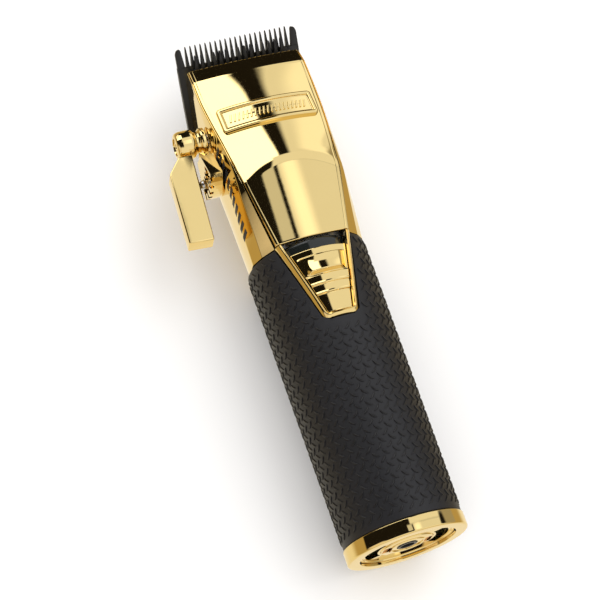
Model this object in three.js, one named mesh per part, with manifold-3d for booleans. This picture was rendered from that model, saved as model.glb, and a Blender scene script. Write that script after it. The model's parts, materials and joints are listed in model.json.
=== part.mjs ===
// Cordless hair clipper with a metal head, a textured handle sleeve, a taper lever on its left side and a
// thumb slide switch on its front. Millimetres.
//
// The clipper is drawn in its own frame first: the handle's axis is the Y axis, y = 0 is the flat end of the
// handle, +Y points to the blade's teeth and +Z is the front, where the switch is. The outer group then lays
// it on its back, with the origin at the middle of the flat pad that it rests on.
import * as THREE from "three";
import { mergeVertices } from "three/addons/utils/BufferGeometryUtils.js";
import Module from "manifold-3d";

const wasm = await Module();
wasm.setup();

// ---- Driving dimensions ----
const GAP = 0.3; // between pieces that touch
const SLIVER = 0.002; // edges shorter than this, left by a cut, are merged away
const BACK = -19.8; // the flat back pad that the clipper lies on
const PAD_Y = 115; // middle of that pad along the handle's axis

const SLEEVE = { start: 4.9, end: 99.0, lowR: 18.9, highR: 19.8, innerR: 16.4 };
const TUBE = { start: 5.0, end: 104, outerR: 16.1, innerR: 15.0 };
const RING = { outerR: 19.3, innerR: 15.4, height: 4.6, edge: 0.8 };

const HEAD = { start: 99.4, noseEnd: 170.9, wall: 1.7 };
const BROW_Y = 126.8; // the ridge where the thumb rest stops rising and the face starts to fall
const BROW_Z = 22.75;
const CHAMFER_Y = 164.4; // where the face turns down to the nose
const FACE_SLOPE = { fall: 0.185, bend: 0.001, chamfer: 0.5 };
const THUMB_REST = { rise: 0.148, crown: 0.0085 };
const PLATE = { low: 141.5, high: 151.2, half: 16.2, lift: 1.2, border: 1.5, sunk: 0.85 }; // name plate
const REAR_SCREW = { ys: [108, 126], headR: 2.4, seatR: 2.8, holeR: 1.5, shankR: 1.05, sunk: 1.1 };

const BLADE = { tipY: 179.4, tipZ: 11.5, angle: 40, halfWidth: 21.35, length: 30, thick: 2.4 };
const BLADE_SCREW = { xs: [-12.5, 12.5], y: -27, headR: 2.7, holeR: 1.7, shankR: 1.25 };
const COMB = {
  teeth: 21,
  pitch: 1.757,
  toothLength: 6.6,
  endToothWidth: 2.1,
  rootWidth: 1.25,
  tipWidth: 0.35,
};
const CUTTER = {
  halfWidth: 16.4,
  tipY: -3,
  heelY: -19,
  bottom: 0.25,
  top: 1.55,
  pitch: 2.15,
  toothLength: 4.6,
  rootWidth: 1.55,
  tipWidth: 0.5,
};
const CARRIAGE = { half: 15, railInner: 9.3, tipY: -12.6, heelY: -23.4, bottom: 2.3, top: 3.6 };

const LEVER = { y: 146.5, z: 6.5, hubR: 4.9, foot: -20.4, eccentricity: 1.5, paddleHalf: 3 };
const HUB_SEAT = 8.3; // from the hub's foot to the sunk face the screw head sits on
const DETENT = {
  face: -24.4,
  back: -20.3,
  innerR: 6.3,
  outerR: 19,
  halfAngle: 29,
  ballRadius: 15.4,
  trackHalf: 1.7,
  trackAngle: 26,
  step: 11,
};
const BALL = { y: 131.1, radius: 1.5, x: -25.6 };

const FRAME = {
  topY: 99.1,
  tipY: 71.0,
  topHalf: 12.45,
  tipHalf: 5.6,
  border: 1.9,
  innerR: 16.7,
  floorR: 17.4,
};
const SLIDER = { low: 73, high: 94.9 };
const JACK = { boreR: 2.2, barrelR: 3.1, bodyR: 5.2, mouth: 0.7, shoulder: 3.4, end: 11, floor: 9 };
const CONTACT = { inner: 5.6, outer: 7.6, half: 2.1 };

const MOTOR = { z: 2.5, radius: 12, start: 94, end: 124, wall: 1.2, mouthR: 2.2, shaftR: 1.0 };
const MAGNET = { innerR: 8.6, outerR: 10.5, start: 100, end: 120 };
const CAM = { eccentricity: 1.4, pinR: 1.25, discR: 5, start: 138, end: 147, pinEnd: 160.5 };
const CRADLE_R = 13.6; // outside of the motor's and the battery's cradles
const BATTERY = { radius: 9.1, start: 13, end: 78 };
const BOARD = { low: 80.4, high: 92.8, half: 11, under: 6.6, top: 7.9 };

// ---- Materials ----
const finish = (color, roughness, metalness) =>
  new THREE.MeshStandardMaterial({ color, roughness, metalness });
const gold = finish(0xe0b450, 0.12, 1);
const blackSteel = finish(0x1c1b1d, 0.4, 0.6);
const sleeveRubber = finish(0x2b2a2d, 0.75, 0);
const blackPlastic = finish(0x151617, 0.3, 0);
const steel = finish(0xb9bcc0, 0.3, 1);
const aluminium = finish(0xc8cacd, 0.45, 1);
const whitePlastic = finish(0xe8e6df, 0.5, 0);
const copper = finish(0xb8703a, 0.4, 1);
const boardGreen = finish(0x1f5a35, 0.5, 0);
const cellWrap = finish(0x2a62a8, 0.4, 0);
const wireRed = finish(0xb3261e, 0.5, 0);

// ---- Helpers: a geometry as a solid for cutting and joining, and back ----
function solid(geometry) {
  const bare = geometry.index ? geometry.toNonIndexed() : geometry.clone();
  const places = new THREE.BufferGeometry().setAttribute("position", bare.getAttribute("position"));
  const merged = mergeVertices(places, 1e-4);
  return new wasm.Manifold(
    new wasm.Mesh({
      numProp: 3,
      vertProperties: merged.attributes.position.array,
      triVerts: new Uint32Array(merged.index.array),
    }),
  );
}

function geometryOf(made) {
  const mesh = made.simplify(SLIVER).getMesh();
  return new THREE.BufferGeometry()
    .setAttribute("position", new THREE.BufferAttribute(new Float32Array(mesh.vertProperties), 3))
    .setIndex(new THREE.BufferAttribute(new Uint32Array(mesh.triVerts), 1));
}

const joined = (...pieces) => pieces.reduce((all, piece) => all.add(piece));

function box([x0, x1], [y0, y1], [z0, z1]) {
  const made = new THREE.BoxGeometry(x1 - x0, y1 - y0, z1 - z0);
  return solid(made.translate((x0 + x1) / 2, (y0 + y1) / 2, (z0 + z1) / 2));
}

// A round bar from one point along an axis ("x", "y" or "z") to the coordinate `to`.
function bar(axis, [x, y, z], to, radius, sides = 24) {
  const from = { x, y, z }[axis];
  const made = new THREE.CylinderGeometry(radius, radius, Math.abs(to - from), sides);
  if (axis === "x") made.rotateZ(Math.PI / 2);
  if (axis === "z") made.rotateX(Math.PI / 2);
  const middle = { x, y, z, [axis]: (from + to) / 2 };
  return solid(made.translate(middle.x, middle.y, middle.z));
}

// A profile of [radius, y] points spun about the Y axis.
function spun(profile, sides = 48) {
  const points = profile.map(([r, y]) => new THREE.Vector2(r, y));
  points.push(points[0].clone());
  const made = solid(new THREE.LatheGeometry(points, sides));
  return made.volume() < 0 ? solid(new THREE.LatheGeometry(points.reverse(), sides)) : made;
}

function shapeOf(points) {
  return new THREE.Shape(points.map(([a, b]) => new THREE.Vector2(a, b)));
}

// A plan outline of [x, y] points raised from z0 to z1, with an optional bevel on its edges.
function raised(points, z0, z1, bevel = 0) {
  const made = new THREE.ExtrudeGeometry(shapeOf(points), {
    depth: z1 - z0 - 2 * bevel,
    bevelEnabled: bevel > 0,
    bevelSize: bevel,
    bevelOffset: -bevel,
    bevelThickness: bevel,
    bevelSegments: 1,
  });
  return solid(made.translate(0, 0, z0 + bevel));
}

// A side outline of [y, z] points carried across from x0 to x1.
function across(points, x0, x1) {
  const made = new THREE.ExtrudeGeometry(shapeOf(points), { depth: x1 - x0, bevelEnabled: false });
  made.applyMatrix4(new THREE.Matrix4().set(0, 0, 1, x0, 1, 0, 0, 0, 0, 1, 0, 0, 0, 0, 0, 1));
  return solid(made);
}

// Closed rings of [x, z] points, one at each station along Y, skinned into one closed body.
function skinned(stations, ringAt) {
  const places = [];
  const faces = [];
  const rings = stations.map(ringAt);
  const count = rings[0].length;
  rings.forEach((ring, i) => ring.forEach(([x, z]) => places.push(x, stations[i], z)));
  for (let i = 0; i + 1 < rings.length; i++) {
    for (let j = 0; j < count; j++) {
      const [a, b] = [i * count + j, i * count + ((j + 1) % count)];
      faces.push(a, b, a + count, b, b + count, a + count);
    }
  }
  const cap = (first, flip) => {
    const outline = rings[first].map(([x, z]) => new THREE.Vector2(x, z));
    for (const [a, b, c] of THREE.ShapeUtils.triangulateShape(outline, [])) {
      const base = first * count;
      faces.push(...(flip ? [base + a, base + c, base + b] : [base + a, base + b, base + c]));
    }
  };
  const clockwise = THREE.ShapeUtils.isClockWise(rings[0].map(([x, z]) => new THREE.Vector2(x, z)));
  cap(0, !clockwise);
  cap(rings.length - 1, clockwise);
  const made = new THREE.BufferGeometry();
  made.setAttribute("position", new THREE.Float32BufferAttribute(places, 3));
  made.setIndex(faces);
  const body = solid(made);
  if (body.volume() > 0) return body;
  for (let i = 0; i < faces.length; i += 3) [faces[i + 1], faces[i + 2]] = [faces[i + 2], faces[i + 1]];
  return solid(made.setIndex(faces));
}

// Straight-line interpolation in a table of [y, value] rows.
function tableAt(rows, y) {
  const after = rows.findIndex(([at]) => at >= y);
  if (after <= 0) return after === 0 ? rows[0][1] : rows.at(-1)[1];
  const [[y0, v0], [y1, v1]] = [rows[after - 1], rows[after]];
  return THREE.MathUtils.mapLinear(y, y0, y1, v0, v1);
}

// ---- The shape of the head: its cross-section at each y ----
const blade = new THREE.Matrix4()
  .makeTranslation(0, BLADE.tipY, BLADE.tipZ)
  .multiply(new THREE.Matrix4().makeRotationX(THREE.MathUtils.degToRad(BLADE.angle)));
const BLADE_HEEL_Y = BLADE.tipY - BLADE.length * Math.cos(THREE.MathUtils.degToRad(BLADE.angle));
const bladeTan = Math.tan(THREE.MathUtils.degToRad(BLADE.angle));
const bladePlaneZ = (y, above) =>
  BLADE.tipZ + (y - BLADE.tipY) * bladeTan + above / Math.cos(THREE.MathUtils.degToRad(BLADE.angle));

// Half-width of the front face at its edges.
const FACE_HALF = [
  [HEAD.start, 12.3], [109, 14.0], [120, 15.9], [136, 17.6],
  [146, 18.6], [156, 19.4], [CHAMFER_Y, 19.4], [HEAD.noseEnd, 19.2],
];
// How far the face is crowned: its middle stands x * x * crown over a point x to the side.
const FACE_CROWN = [
  [HEAD.start, 0.015], [126, 0.015], [133, 0.0112], [140, 0.0088], [156, 0.0076],
  [CHAMFER_Y, 0.0045], [HEAD.noseEnd, 0.0018],
];
// Half-width of the head across its side walls, and the height where those walls start.
const WALL_HALF = [
  [HEAD.start, 18.7], [104, 18.9], [112, 19.2], [120, 19.4],
  [130, 19.9], [148, 19.9], [CHAMFER_Y, 19.6], [HEAD.noseEnd, 19.4],
];
const WALL_TOP = [
  [HEAD.start, 6.3], [112, 9.0], [118, 10.3], [126, 12.0],
  [131, 12.7], [148, 12.0], [156, 10.8], [HEAD.noseEnd, 7.6],
];
const BACK_Z = [
  [HEAD.start, BACK + 1], [101.5, BACK], [130, BACK], [137, -19.0],
  [144, -16.6], [150, -13.2], [155.5, -9.2],
];

// Height of the face at (x, y): the crowned face in front of the brow, and the thumb rest behind it. The face's
// stronger crown makes the ridge between them bow back at its two ends.
function faceHeight(x, y) {
  const { fall, bend, chamfer } = FACE_SLOPE;
  const run = Math.min(y, CHAMFER_Y) - BROW_Y;
  const edge = Math.max(0, y - CHAMFER_Y);
  const middle = BROW_Z - fall * run - bend * run * Math.max(run, 0) - chamfer * edge;
  const face = middle - x * x * tableAt(FACE_CROWN, y);
  const rest = BROW_Z - THUMB_REST.rise * (BROW_Y - y) - x * x * THUMB_REST.crown;
  return Math.min(face, rest);
}

// One ring of the head's outline, moved in by `inset` for the inner surface of its wall.
// Behind the blade's heel its underside is a flat pad with broad round shoulders. In front of the heel the
// blade closes it, and the shoulders shrink to `lip`.
function headRing(y, inset) {
  const [lip, shoulderZ, padHalf, padEnd, padSpread] = [0.4, 4, 9, 128, 0.15];
  const noseward = y > BLADE_HEEL_Y + 1.3;
  const half = tableAt(FACE_HALF, y) - inset;
  const wall = tableAt(WALL_HALF, y) - inset;
  const edgeZ = faceHeight(tableAt(FACE_HALF, y), y) - inset;
  const bottom = noseward ? bladePlaneZ(y, 0.35) : tableAt(BACK_Z, y) + inset;
  const wallTop = Math.min(tableAt(WALL_TOP, y), edgeZ - 0.6);
  const wallLow = noseward ? bottom + lip : shoulderZ;
  const widePad = Math.min(wall - 1, padHalf + padSpread * Math.max(0, y - padEnd));
  const pad = noseward ? wall - lip : widePad;
  const right = [];
  for (const share of [0.2, 0.4, 0.6, 0.8]) {
    right.push([half * share, faceHeight(half * share, y) - inset]);
  }
  right.push([half, edgeZ], [wall, wallTop]);
  for (let turn = 0; turn <= 5; turn++) {
    const angle = (turn / 5) * (Math.PI / 2);
    right.push([pad + (wall - pad) * Math.cos(angle), wallLow - (wallLow - bottom) * Math.sin(angle)]);
  }
  const left = right.map(([x, z]) => [-x, z]).reverse();
  return [[0, faceHeight(0, y) - inset], ...right, ...left];
}

const MIDDLE_STATIONS = [
  101.5, 104, 109, 114, 118, 121, 123.5, 125, 126.4, 128, 131, 135, 140, 145, 150, 155.5, 157.8, 161,
  CHAMFER_Y, 167.6,
];
// The stations of the head, with its two end ones moved along Y.
const headStations = (first, last) => [HEAD.start + first, ...MIDDLE_STATIONS, HEAD.noseEnd + last];
const ABOVE = 40; // over everything

// The strip of the head that the front cover takes: inside the face's edges and down to `depth` under them.
function coverStrip(clearance, depth) {
  return skinned(headStations(-1, 1), (y) => {
    const half = tableAt(FACE_HALF, y) - clearance;
    const low = faceHeight(tableAt(FACE_HALF, y), y) - depth;
    return [[-half, low], [-half, ABOVE], [half, ABOVE], [half, low]];
  });
}

function bladeSpace([x0, x1], [y0, y1], [z0, z1]) {
  const made = new THREE.BoxGeometry(x1 - x0, y1 - y0, z1 - z0);
  made.translate((x0 + x1) / 2, (y0 + y1) / 2, (z0 + z1) / 2);
  return solid(made.applyMatrix4(blade));
}

const headOuter = skinned(headStations(0, 0), (y) => headRing(y, 0));
const headInner = skinned(headStations(-1, -HEAD.wall), (y) => headRing(y, HEAD.wall));
const bladePocket = joined(
  bladeSpace([-18.1, 18.1], [-21, 6], [-6, CUTTER.top + GAP]),
  bladeSpace([-17.4, 17.4], [-31.4, -15], [-6, 7]),
);
const bladeSeat = bladeSpace([-22, 22], [-BLADE.length - 0.5, 3], [-BLADE.thick - 0.4, GAP]);
const headShell = headOuter.subtract(joined(headInner, bladePocket, bladeSeat));

const COVER = { seam: 0.12, depth: 1.8, under: GAP };

function rearHousing() {
  const { ys, holeR, seatR, sunk } = REAR_SCREW;
  const leverHole = bar("x", [-24, LEVER.y, LEVER.z], -14, 2.9);
  return headShell
    .subtract(coverStrip(-COVER.seam, COVER.depth + COVER.under))
    .subtract(bar("y", [0, 96, 0], TUBE.end + 0.5, TUBE.outerR + GAP, 48))
    .subtract(leverHole)
    .subtract(joined(...ys.map((y) => bar("z", [0, y, BACK - 1], -10, holeR))))
    .subtract(joined(...ys.map((y) => bar("z", [0, y, BACK - 1], BACK + sunk, seatR))));
}

// The curved plate of the face, let into the housing along its two edges.
function frontCover() {
  return headShell.intersect(coverStrip(COVER.seam, COVER.depth));
}

// A blank plate that follows the face's crown, raised above it, with a sunk panel.
function namePlate() {
  const { low, high, half, lift, border, sunk } = PLATE;
  const plate = skinned([low, low + border - 0.1, high - border + 0.1, high], (y) => {
    const shares = [-1, -0.6, -0.2, 0.2, 0.6, 1];
    const top = shares.map((share) => [half * share, faceHeight(half * share, y) + lift]);
    const under = shares.toReversed().map((share) => [half * share, faceHeight(half * share, y) + GAP]);
    return [...top, ...under];
  });
  const panelHalf = half - border - 0.1;
  const panel = skinned([low + border, high - border], (y) =>
    [-1, -0.5, 0, 0.5, 1]
      .map((share) => [panelHalf * share, faceHeight(panelHalf * share, y) + sunk])
      .concat([[panelHalf, ABOVE], [-panelHalf, ABOVE]]),
  );
  return plate.subtract(panel);
}

// ---- The handle ----
function handleSleeve() {
  const { start, end, lowR, highR, innerR } = SLEEVE;
  const lip = 0.7;
  const profile = [[innerR, start], [lowR, start], [highR, end - lip], [highR - lip, end], [innerR, end]];
  const tube = spun(profile, 60);
  return tube.subtract(switchTrapezoid(-GAP, [10, 40], 101));
}

function handleTube() {
  const { start, end, outerR, innerR } = TUBE;
  const slot = box([-2.2, 2.2], [83, 93.2], [10, 20]);
  return spun([[innerR, start], [outerR, start], [outerR, end], [innerR, end]]).subtract(slot);
}

function endRing() {
  const { outerR, innerR, height, edge } = RING;
  const stop = { low: 2.9, high: 3.9, depth: 0.6 }; // the rib that the end plate rests on
  return spun([
    [innerR, 0], [outerR - edge, 0], [outerR - 0.25, edge * 0.35], [outerR, edge],
    [outerR, height], [innerR, height], [innerR, stop.high], [innerR - stop.depth, stop.high],
    [innerR - stop.depth, stop.low], [innerR, stop.low],
  ], 60);
}

// The sunk end plate, with a round hole for the jack, two contact windows and two curved vents.
function endPlate() {
  const through = [0, 4];
  const [ventInner, ventOuter, jackR] = [9.4, 13.4, 3.4];
  const disc = bar("y", [0, 0.9, 0], 2.6, RING.innerR - GAP, 60);
  const ring = spun([[ventInner, 0], [ventOuter, 0], [ventOuter, 4], [ventInner, 4]], 60);
  const sides = joined(box([5, 16], through, [-7, 7]), box([-16, -5], through, [-7, 7]));
  const windows = joined(
    box([CONTACT.inner - GAP, CONTACT.outer + GAP], through, [-CONTACT.half - GAP, CONTACT.half + GAP]),
    box([-CONTACT.outer - GAP, -CONTACT.inner + GAP], through, [-CONTACT.half - GAP, CONTACT.half + GAP]),
  );
  return disc.subtract(ring.intersect(sides)).subtract(windows).subtract(bar("y", [0, 0, 0], 4, jackR));
}

// The jack's barrel, open at the flat end, with a wider body behind the end plate.
function chargingJack() {
  const { boreR, barrelR, bodyR, mouth, shoulder, end, floor } = JACK;
  return spun([
    [boreR, mouth], [barrelR, mouth], [barrelR, shoulder], [bodyR, shoulder],
    [bodyR, end], [0, end], [0, floor], [boreR, floor],
  ], 32);
}

function batteryCradle() {
  const [low, high] = [BATTERY.start - 1, BATTERY.end + 1.4];
  const inner = BATTERY.radius + GAP;
  const sleeve = spun([[inner, low], [CRADLE_R, low], [CRADLE_R, high], [inner, high]], 32);
  return sleeve.subtract(box([-20, 20], [0, 100], [-2, 20]));
}

// ---- The switch ----
// Plan outline of the frame, moved in by `inset`: wide at the head, narrow at the handle, corners cut.
function switchTrapezoid(inset, [z0, z1], top = FRAME.topY - inset) {
  const slant = (FRAME.topHalf - FRAME.tipHalf) / (FRAME.topY - FRAME.tipY);
  const half = (y) => FRAME.tipHalf + slant * (y - FRAME.tipY) - inset;
  const low = FRAME.tipY + inset;
  const [cutAcross, cutAlong] = [1.6, 1.2];
  const outline = [
    [half(top), top], [-half(top), top], [-half(low + cutAlong), low + cutAlong],
    [cutAcross - half(low), low], [half(low) - cutAcross, low], [half(low + cutAlong), low + cutAlong],
  ];
  return raised(outline, z0, z1);
}

function switchFrame() {
  const { innerR, topY, tipY, border } = FRAME;
  const profile = [[innerR, tipY - 2], [20.3, tipY - 2], [20.4, tipY + 1], [21.4, topY], [innerR, topY]];
  const opening = switchTrapezoid(border, [0, ABOVE], topY + 1); // open at the head's end
  return spun(profile, 60).intersect(switchTrapezoid(0, [5, ABOVE])).subtract(opening);
}

function switchFloor() {
  const { topY, tipY, border, floorR } = FRAME;
  const underR = floorR - 0.9;
  const shell = spun([[underR, tipY - 1], [floorR, tipY - 1], [floorR, topY], [underR, topY]], 60);
  const slot = box([-1.9, 1.9], [83.4, 92.6], [10, 20]);
  return shell.intersect(switchTrapezoid(border + GAP, [5, ABOVE], topY - 0.1)).subtract(slot);
}

// Steps of the slider from its low end to its high end, as [radius, y].
const SLIDER_STEPS = [
  [19.3, SLIDER.low], [19.3, 79.5], [19.9, 79.9], [19.9, 82.5], [20.4, 82.9], [20.4, 86.2],
  [21.9, 86.5], [21.7, 88.2], [20.8, 92.6], [20.0, 92.9], [20.0, SLIDER.high],
];

function switchSlider() {
  const underR = FRAME.floorR + GAP;
  const steps = spun([[underR, SLIDER.low], ...SLIDER_STEPS, [underR, SLIDER.high]], 60);
  const cap = steps.intersect(switchTrapezoid(FRAME.border + 0.25, [5, ABOVE], SLIDER.high));
  const stem = box([-1.5, 1.5], [84, 88.6], [12, 18.2]);
  return cap.add(stem);
}

// ---- Blade pieces, in the blade's own frame: y = 0 at the tooth tips, z = 0 on the fixed blade's top ----
// One comb tooth as a thin wedge, its root at y0 and its tip at y1.
const tooth = (x, y0, y1, root, tip) => [
  [x - root / 2, y0],
  [x - tip / 2, y1],
  [x + tip / 2, y1],
  [x + root / 2, y0],
];

function fixedBlade() {
  const { halfWidth, length, thick } = BLADE;
  const { teeth, pitch, toothLength, endToothWidth, rootWidth, tipWidth } = COMB;
  const inner = halfWidth - endToothWidth;
  const first = (-(teeth - 1) * pitch) / 2;
  const outline = [
    [-halfWidth, -length], [-halfWidth, -1.6], [-halfWidth + 0.7, -0.4], [-inner - 0.3, 0],
    [-inner + 0.7, -toothLength],
  ];
  for (let i = 0; i < teeth; i++) {
    outline.push(...tooth(first + pitch * i, -toothLength, 0.3, rootWidth, tipWidth));
  }
  const end = outline.slice(0, 5).map(([x, y]) => [-x, y]).reverse();
  const plate = raised([...outline, ...end], -thick, 0);
  // The skin side is hollow-ground, so the teeth are thinner than the plate.
  const under = -thick - 3;
  const grind = across([[0.9, -1.0], [-9, -thick - 0.01], [-9, under], [2, under], [2, -1.0]], -30, 30);
  const { xs, y, holeR } = BLADE_SCREW;
  return plate.subtract(grind).subtract(joined(...xs.map((x) => bar("z", [x, y, -5], 2, holeR))));
}

function cutterBlade() {
  const { halfWidth, tipY, heelY, bottom, top, pitch, toothLength, rootWidth, tipWidth } = CUTTER;
  const root = tipY - toothLength;
  const count = Math.floor((2 * halfWidth) / pitch);
  const first = (-(count - 1) * pitch) / 2;
  const outline = [[-halfWidth, heelY], [-halfWidth, root]];
  for (let i = 0; i < count; i++) {
    outline.push(...tooth(first + i * pitch, root, tipY, rootWidth, tipWidth));
  }
  return raised([...outline, [halfWidth, root], [halfWidth, heelY]], bottom, top);
}

// A block on the cutter with a fork at its back, open wide enough for the cam pin's whole orbit.
function cutterYoke() {
  const block = box([-7, 7], [-20, -15.6], [CUTTER.top + GAP, 4.2]);
  const prong = (side) => box(side > 0 ? [4.4, 7] : [-7, -4.4], [-27, -19.9], [1.2, 7]);
  return joined(block, prong(1), prong(-1));
}

// A sliding frame over the cutter. Its left arm rises to the lever's eccentric pin.
function cutterCarriage() {
  const { half, railInner, tipY, heelY, bottom, top } = CARRIAGE;
  const railX = { right: [railInner, half], left: [-half, -railInner] };
  const rail = (side) => box(railX[side], [heelY, tipY], [bottom, top]);
  const front = box([-half, half], [tipY - 2.6, tipY], [bottom, top]);
  const [pinY, pinZ] = ECCENTRIC;
  const armOutline = [
    [heelY, bottom], [-18, bottom], [-18, top], [-21, top + 1], [pinY + 3, pinZ - 4],
    [pinY + 3, pinZ + 2.6], [pinY - 3, pinZ + 2.6], [pinY - 3, pinZ - 1.8],
  ];
  const arm = across(armOutline, -half + 0.4, -half + 2.8);
  const slot = box([-half - 1, -half + 4], [pinY - 1.35, pinY + 1.35], [pinZ - 1.7, pinZ + 1.7]);
  return joined(rail("right"), rail("left"), front, arm).subtract(slot);
}

// The eccentric pin's place at rest, in the blade's frame.
const pivot = new THREE.Vector3(0, LEVER.y, LEVER.z).applyMatrix4(blade.clone().invert());
const ECCENTRIC = [pivot.y, pivot.z + LEVER.eccentricity];

// A flat spring clip that presses the cutter down: a crossbar and two bent arms.
function tensionSpring() {
  const [half, width, low, high] = [11.2, 1.6, CARRIAGE.top + GAP, CARRIAGE.top + GAP + 0.5];
  const outline = [
    [-23, low], [-23, high], [-20, 6.0], [-17, 5.2], [-13.4, high], [-13.4, low], [-17, 4.7], [-20, 5.5],
  ];
  const arm = across(outline, 0, width);
  const crossbar = box([-half, half], [-14.6, -13.4], [low, high]);
  return joined(arm.translate([half - width, 0, 0]), arm.translate([-half, 0, 0]), crossbar);
}

function bladeBase() {
  const [half, padInner, back] = [17, 9.6, -29.4];
  const pad = (side) => box(side > 0 ? [padInner, half] : [-half, -padInner], [back, -24.6], [GAP, 2.9]);
  const bridge = box([-half, half], [back, back + 1.2], [GAP, 1.6]);
  const holes = joined(...BLADE_SCREW.xs.map((x) => bar("z", [x, BLADE_SCREW.y, -1], 2.2, 1.55)));
  return joined(pad(1), pad(-1), bridge).subtract(holes);
}

function bladeScrew(x) {
  const { y, headR, shankR } = BLADE_SCREW;
  const under = -BLADE.thick - GAP;
  const head = bar("z", [x, y, under], under - 1.1, headR);
  const slot = box([x - 3, x + 3], [y - 0.4, y + 0.4], [under - 1.3, under - 0.6]);
  return head.subtract(slot).add(bar("z", [x, y, under - 0.1], 2.0, shankR));
}

// ---- The lever ----
const about = (x, y, z) => new THREE.Matrix4().makeTranslation(x, y, z);

// A turned hub: foot, neck, and a round head that the thumb bar hangs from, with the screw sunk in its end.
function leverHub() {
  const { hubR, foot } = LEVER;
  const [sunkR, boreR] = [2.7, 1.6];
  const profile = [
    [0, 0], [4.6, 0], [4.6, 1.5], [3.7, 2.3], [3.7, 3.5], [4.7, 4.3], [hubR, 5.0], [hubR, 8.9],
    [4.1, 10.0], [3.2, 10.2], [0, 10.2],
  ];
  const points = profile.map(([r, along]) => new THREE.Vector2(r, along));
  const made = new THREE.LatheGeometry(points, 36).rotateZ(Math.PI / 2);
  const hub = solid(made.applyMatrix4(about(foot, LEVER.y, LEVER.z)));
  const sunk = bar("x", [foot - 11, LEVER.y, LEVER.z], foot - HUB_SEAT, sunkR);
  return hub.subtract(sunk).subtract(bar("x", [foot - 11, LEVER.y, LEVER.z], foot - 5, boreR));
}

// The thumb bar: wide end at the handle, cut away beside the hub, with bevelled edges.
function leverPaddle() {
  const outline = [[-26.6, 141.3], [-28.4, 110.2], [-36.6, 110.7], [-35.7, 136], [-31.2, 141.3]];
  const bore = bar("x", [-33.4, BALL.y, LEVER.z], -20, 1.9);
  return raised(outline, LEVER.z - LEVER.paddleHalf, LEVER.z + LEVER.paddleHalf, 0.6).subtract(bore);
}

function leverShaft() {
  const [, pinZ] = ECCENTRIC;
  const centre = new THREE.Vector3(0, pivot.y, pinZ).applyMatrix4(blade);
  const shaft = bar("x", [LEVER.foot + GAP, LEVER.y, LEVER.z], -15.3, 2.6);
  return shaft.add(bar("x", [-15.4, centre.y, centre.z], -11.6, 1.2));
}

function leverScrew() {
  const seat = LEVER.foot - HUB_SEAT - GAP;
  const head = bar("x", [seat, LEVER.y, LEVER.z], seat - 1.2, 2.4);
  const socket = bar("x", [seat - 2, LEVER.y, LEVER.z], seat - 0.6, 1.2, 6);
  return head.subtract(socket).add(bar("x", [seat - 0.4, LEVER.y, LEVER.z], LEVER.foot - 5.4, 1.3));
}

// A sector beside the hub with an arc track for the ball and five radial click notches.
function detentPlate() {
  const { face, back, innerR, outerR, halfAngle, ballRadius, trackHalf, trackAngle, step } = DETENT;
  const at = (radius, degrees) => {
    const turn = THREE.MathUtils.degToRad(degrees);
    return [LEVER.y - radius * Math.cos(turn), LEVER.z + radius * Math.sin(turn)];
  };
  const arc = (radius, reach, steps) =>
    Array.from({ length: steps + 1 }, (_, i) => at(radius, -reach + (2 * reach * i) / steps));
  const sector = across([...arc(outerR, halfAngle, 10), ...arc(innerR, halfAngle, 6).reverse()], face, back);
  const outer = arc(ballRadius + trackHalf, trackAngle, 10);
  const inner = arc(ballRadius - trackHalf, trackAngle, 10).reverse();
  const track = across([...outer, ...inner], face - 1, face + 0.7);
  const notches = [-2, -1, 0, 1, 2].map((click) => {
    const middle = click * step;
    const wide = [at(outerR + 1, middle - 2.2), at(outerR + 1, middle + 2.2)];
    const narrow = [at(12.6, middle + 3), at(12.6, middle - 3)];
    return across([...wide, ...narrow], face - 1, face + 1.2);
  });
  return sector.subtract(track).subtract(joined(...notches));
}

function detentBall() {
  const ball = new THREE.SphereGeometry(BALL.radius, 16, 10);
  return solid(ball.applyMatrix4(about(BALL.x, BALL.y, LEVER.z)));
}

// A coil of square turns along X, from a section carried round a helix.
class HelixCurve extends THREE.Curve {
  constructor(radius, length, turns) {
    super();
    Object.assign(this, { radius, length, turns });
  }
  getPoint(t, target = new THREE.Vector3()) {
    const turn = t * this.turns * 2 * Math.PI;
    return target.set(t * this.length, this.radius * Math.cos(turn), this.radius * Math.sin(turn));
  }
}

function wireAlong(curve, radius, steps, sides = 8) {
  const section = Array.from({ length: sides }, (_, i) => {
    const turn = (i / sides) * 2 * Math.PI;
    return [radius * Math.cos(turn), radius * Math.sin(turn)];
  });
  return new THREE.ExtrudeGeometry(shapeOf(section), { steps, extrudePath: curve, bevelEnabled: false });
}

function detentSpring() {
  const coil = wireAlong(new HelixCurve(1.25, 4.6, 4.5), 0.25, 54, 6);
  return solid(coil.applyMatrix4(about(-32.6, BALL.y, LEVER.z)));
}

// ---- Drive and electrics inside ----
const motorAt = (made) => made.translate([0, 0, MOTOR.z]);

function motorCan() {
  const { radius, start, end, wall, mouthR } = MOTOR;
  const profile = [
    [radius - wall, start], [radius, start], [radius, end], [mouthR, end], [mouthR, end - wall],
    [radius - wall, end - wall],
  ];
  return motorAt(spun(profile, 36));
}

function motorEndBell() {
  const [outer, inner] = [MOTOR.radius - MOTOR.wall - GAP, MOTOR.mouthR];
  const [low, high] = [MOTOR.start + GAP, MOTOR.start + 3];
  return motorAt(spun([[inner, low], [outer, low], [outer, high], [inner, high]], 36));
}

function motorMagnet() {
  const { innerR, outerR, start, end } = MAGNET;
  return motorAt(spun([[innerR, start], [outerR, start], [outerR, end], [innerR, end]], 36));
}

function rotorCore() {
  const [bore, outer] = [MOTOR.shaftR + 0.05, MAGNET.innerR - 0.5];
  const [low, high] = [MAGNET.start + 1, MAGNET.end - 1];
  return motorAt(spun([[bore, low], [outer, low], [outer, high], [bore, high]], 24));
}

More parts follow.
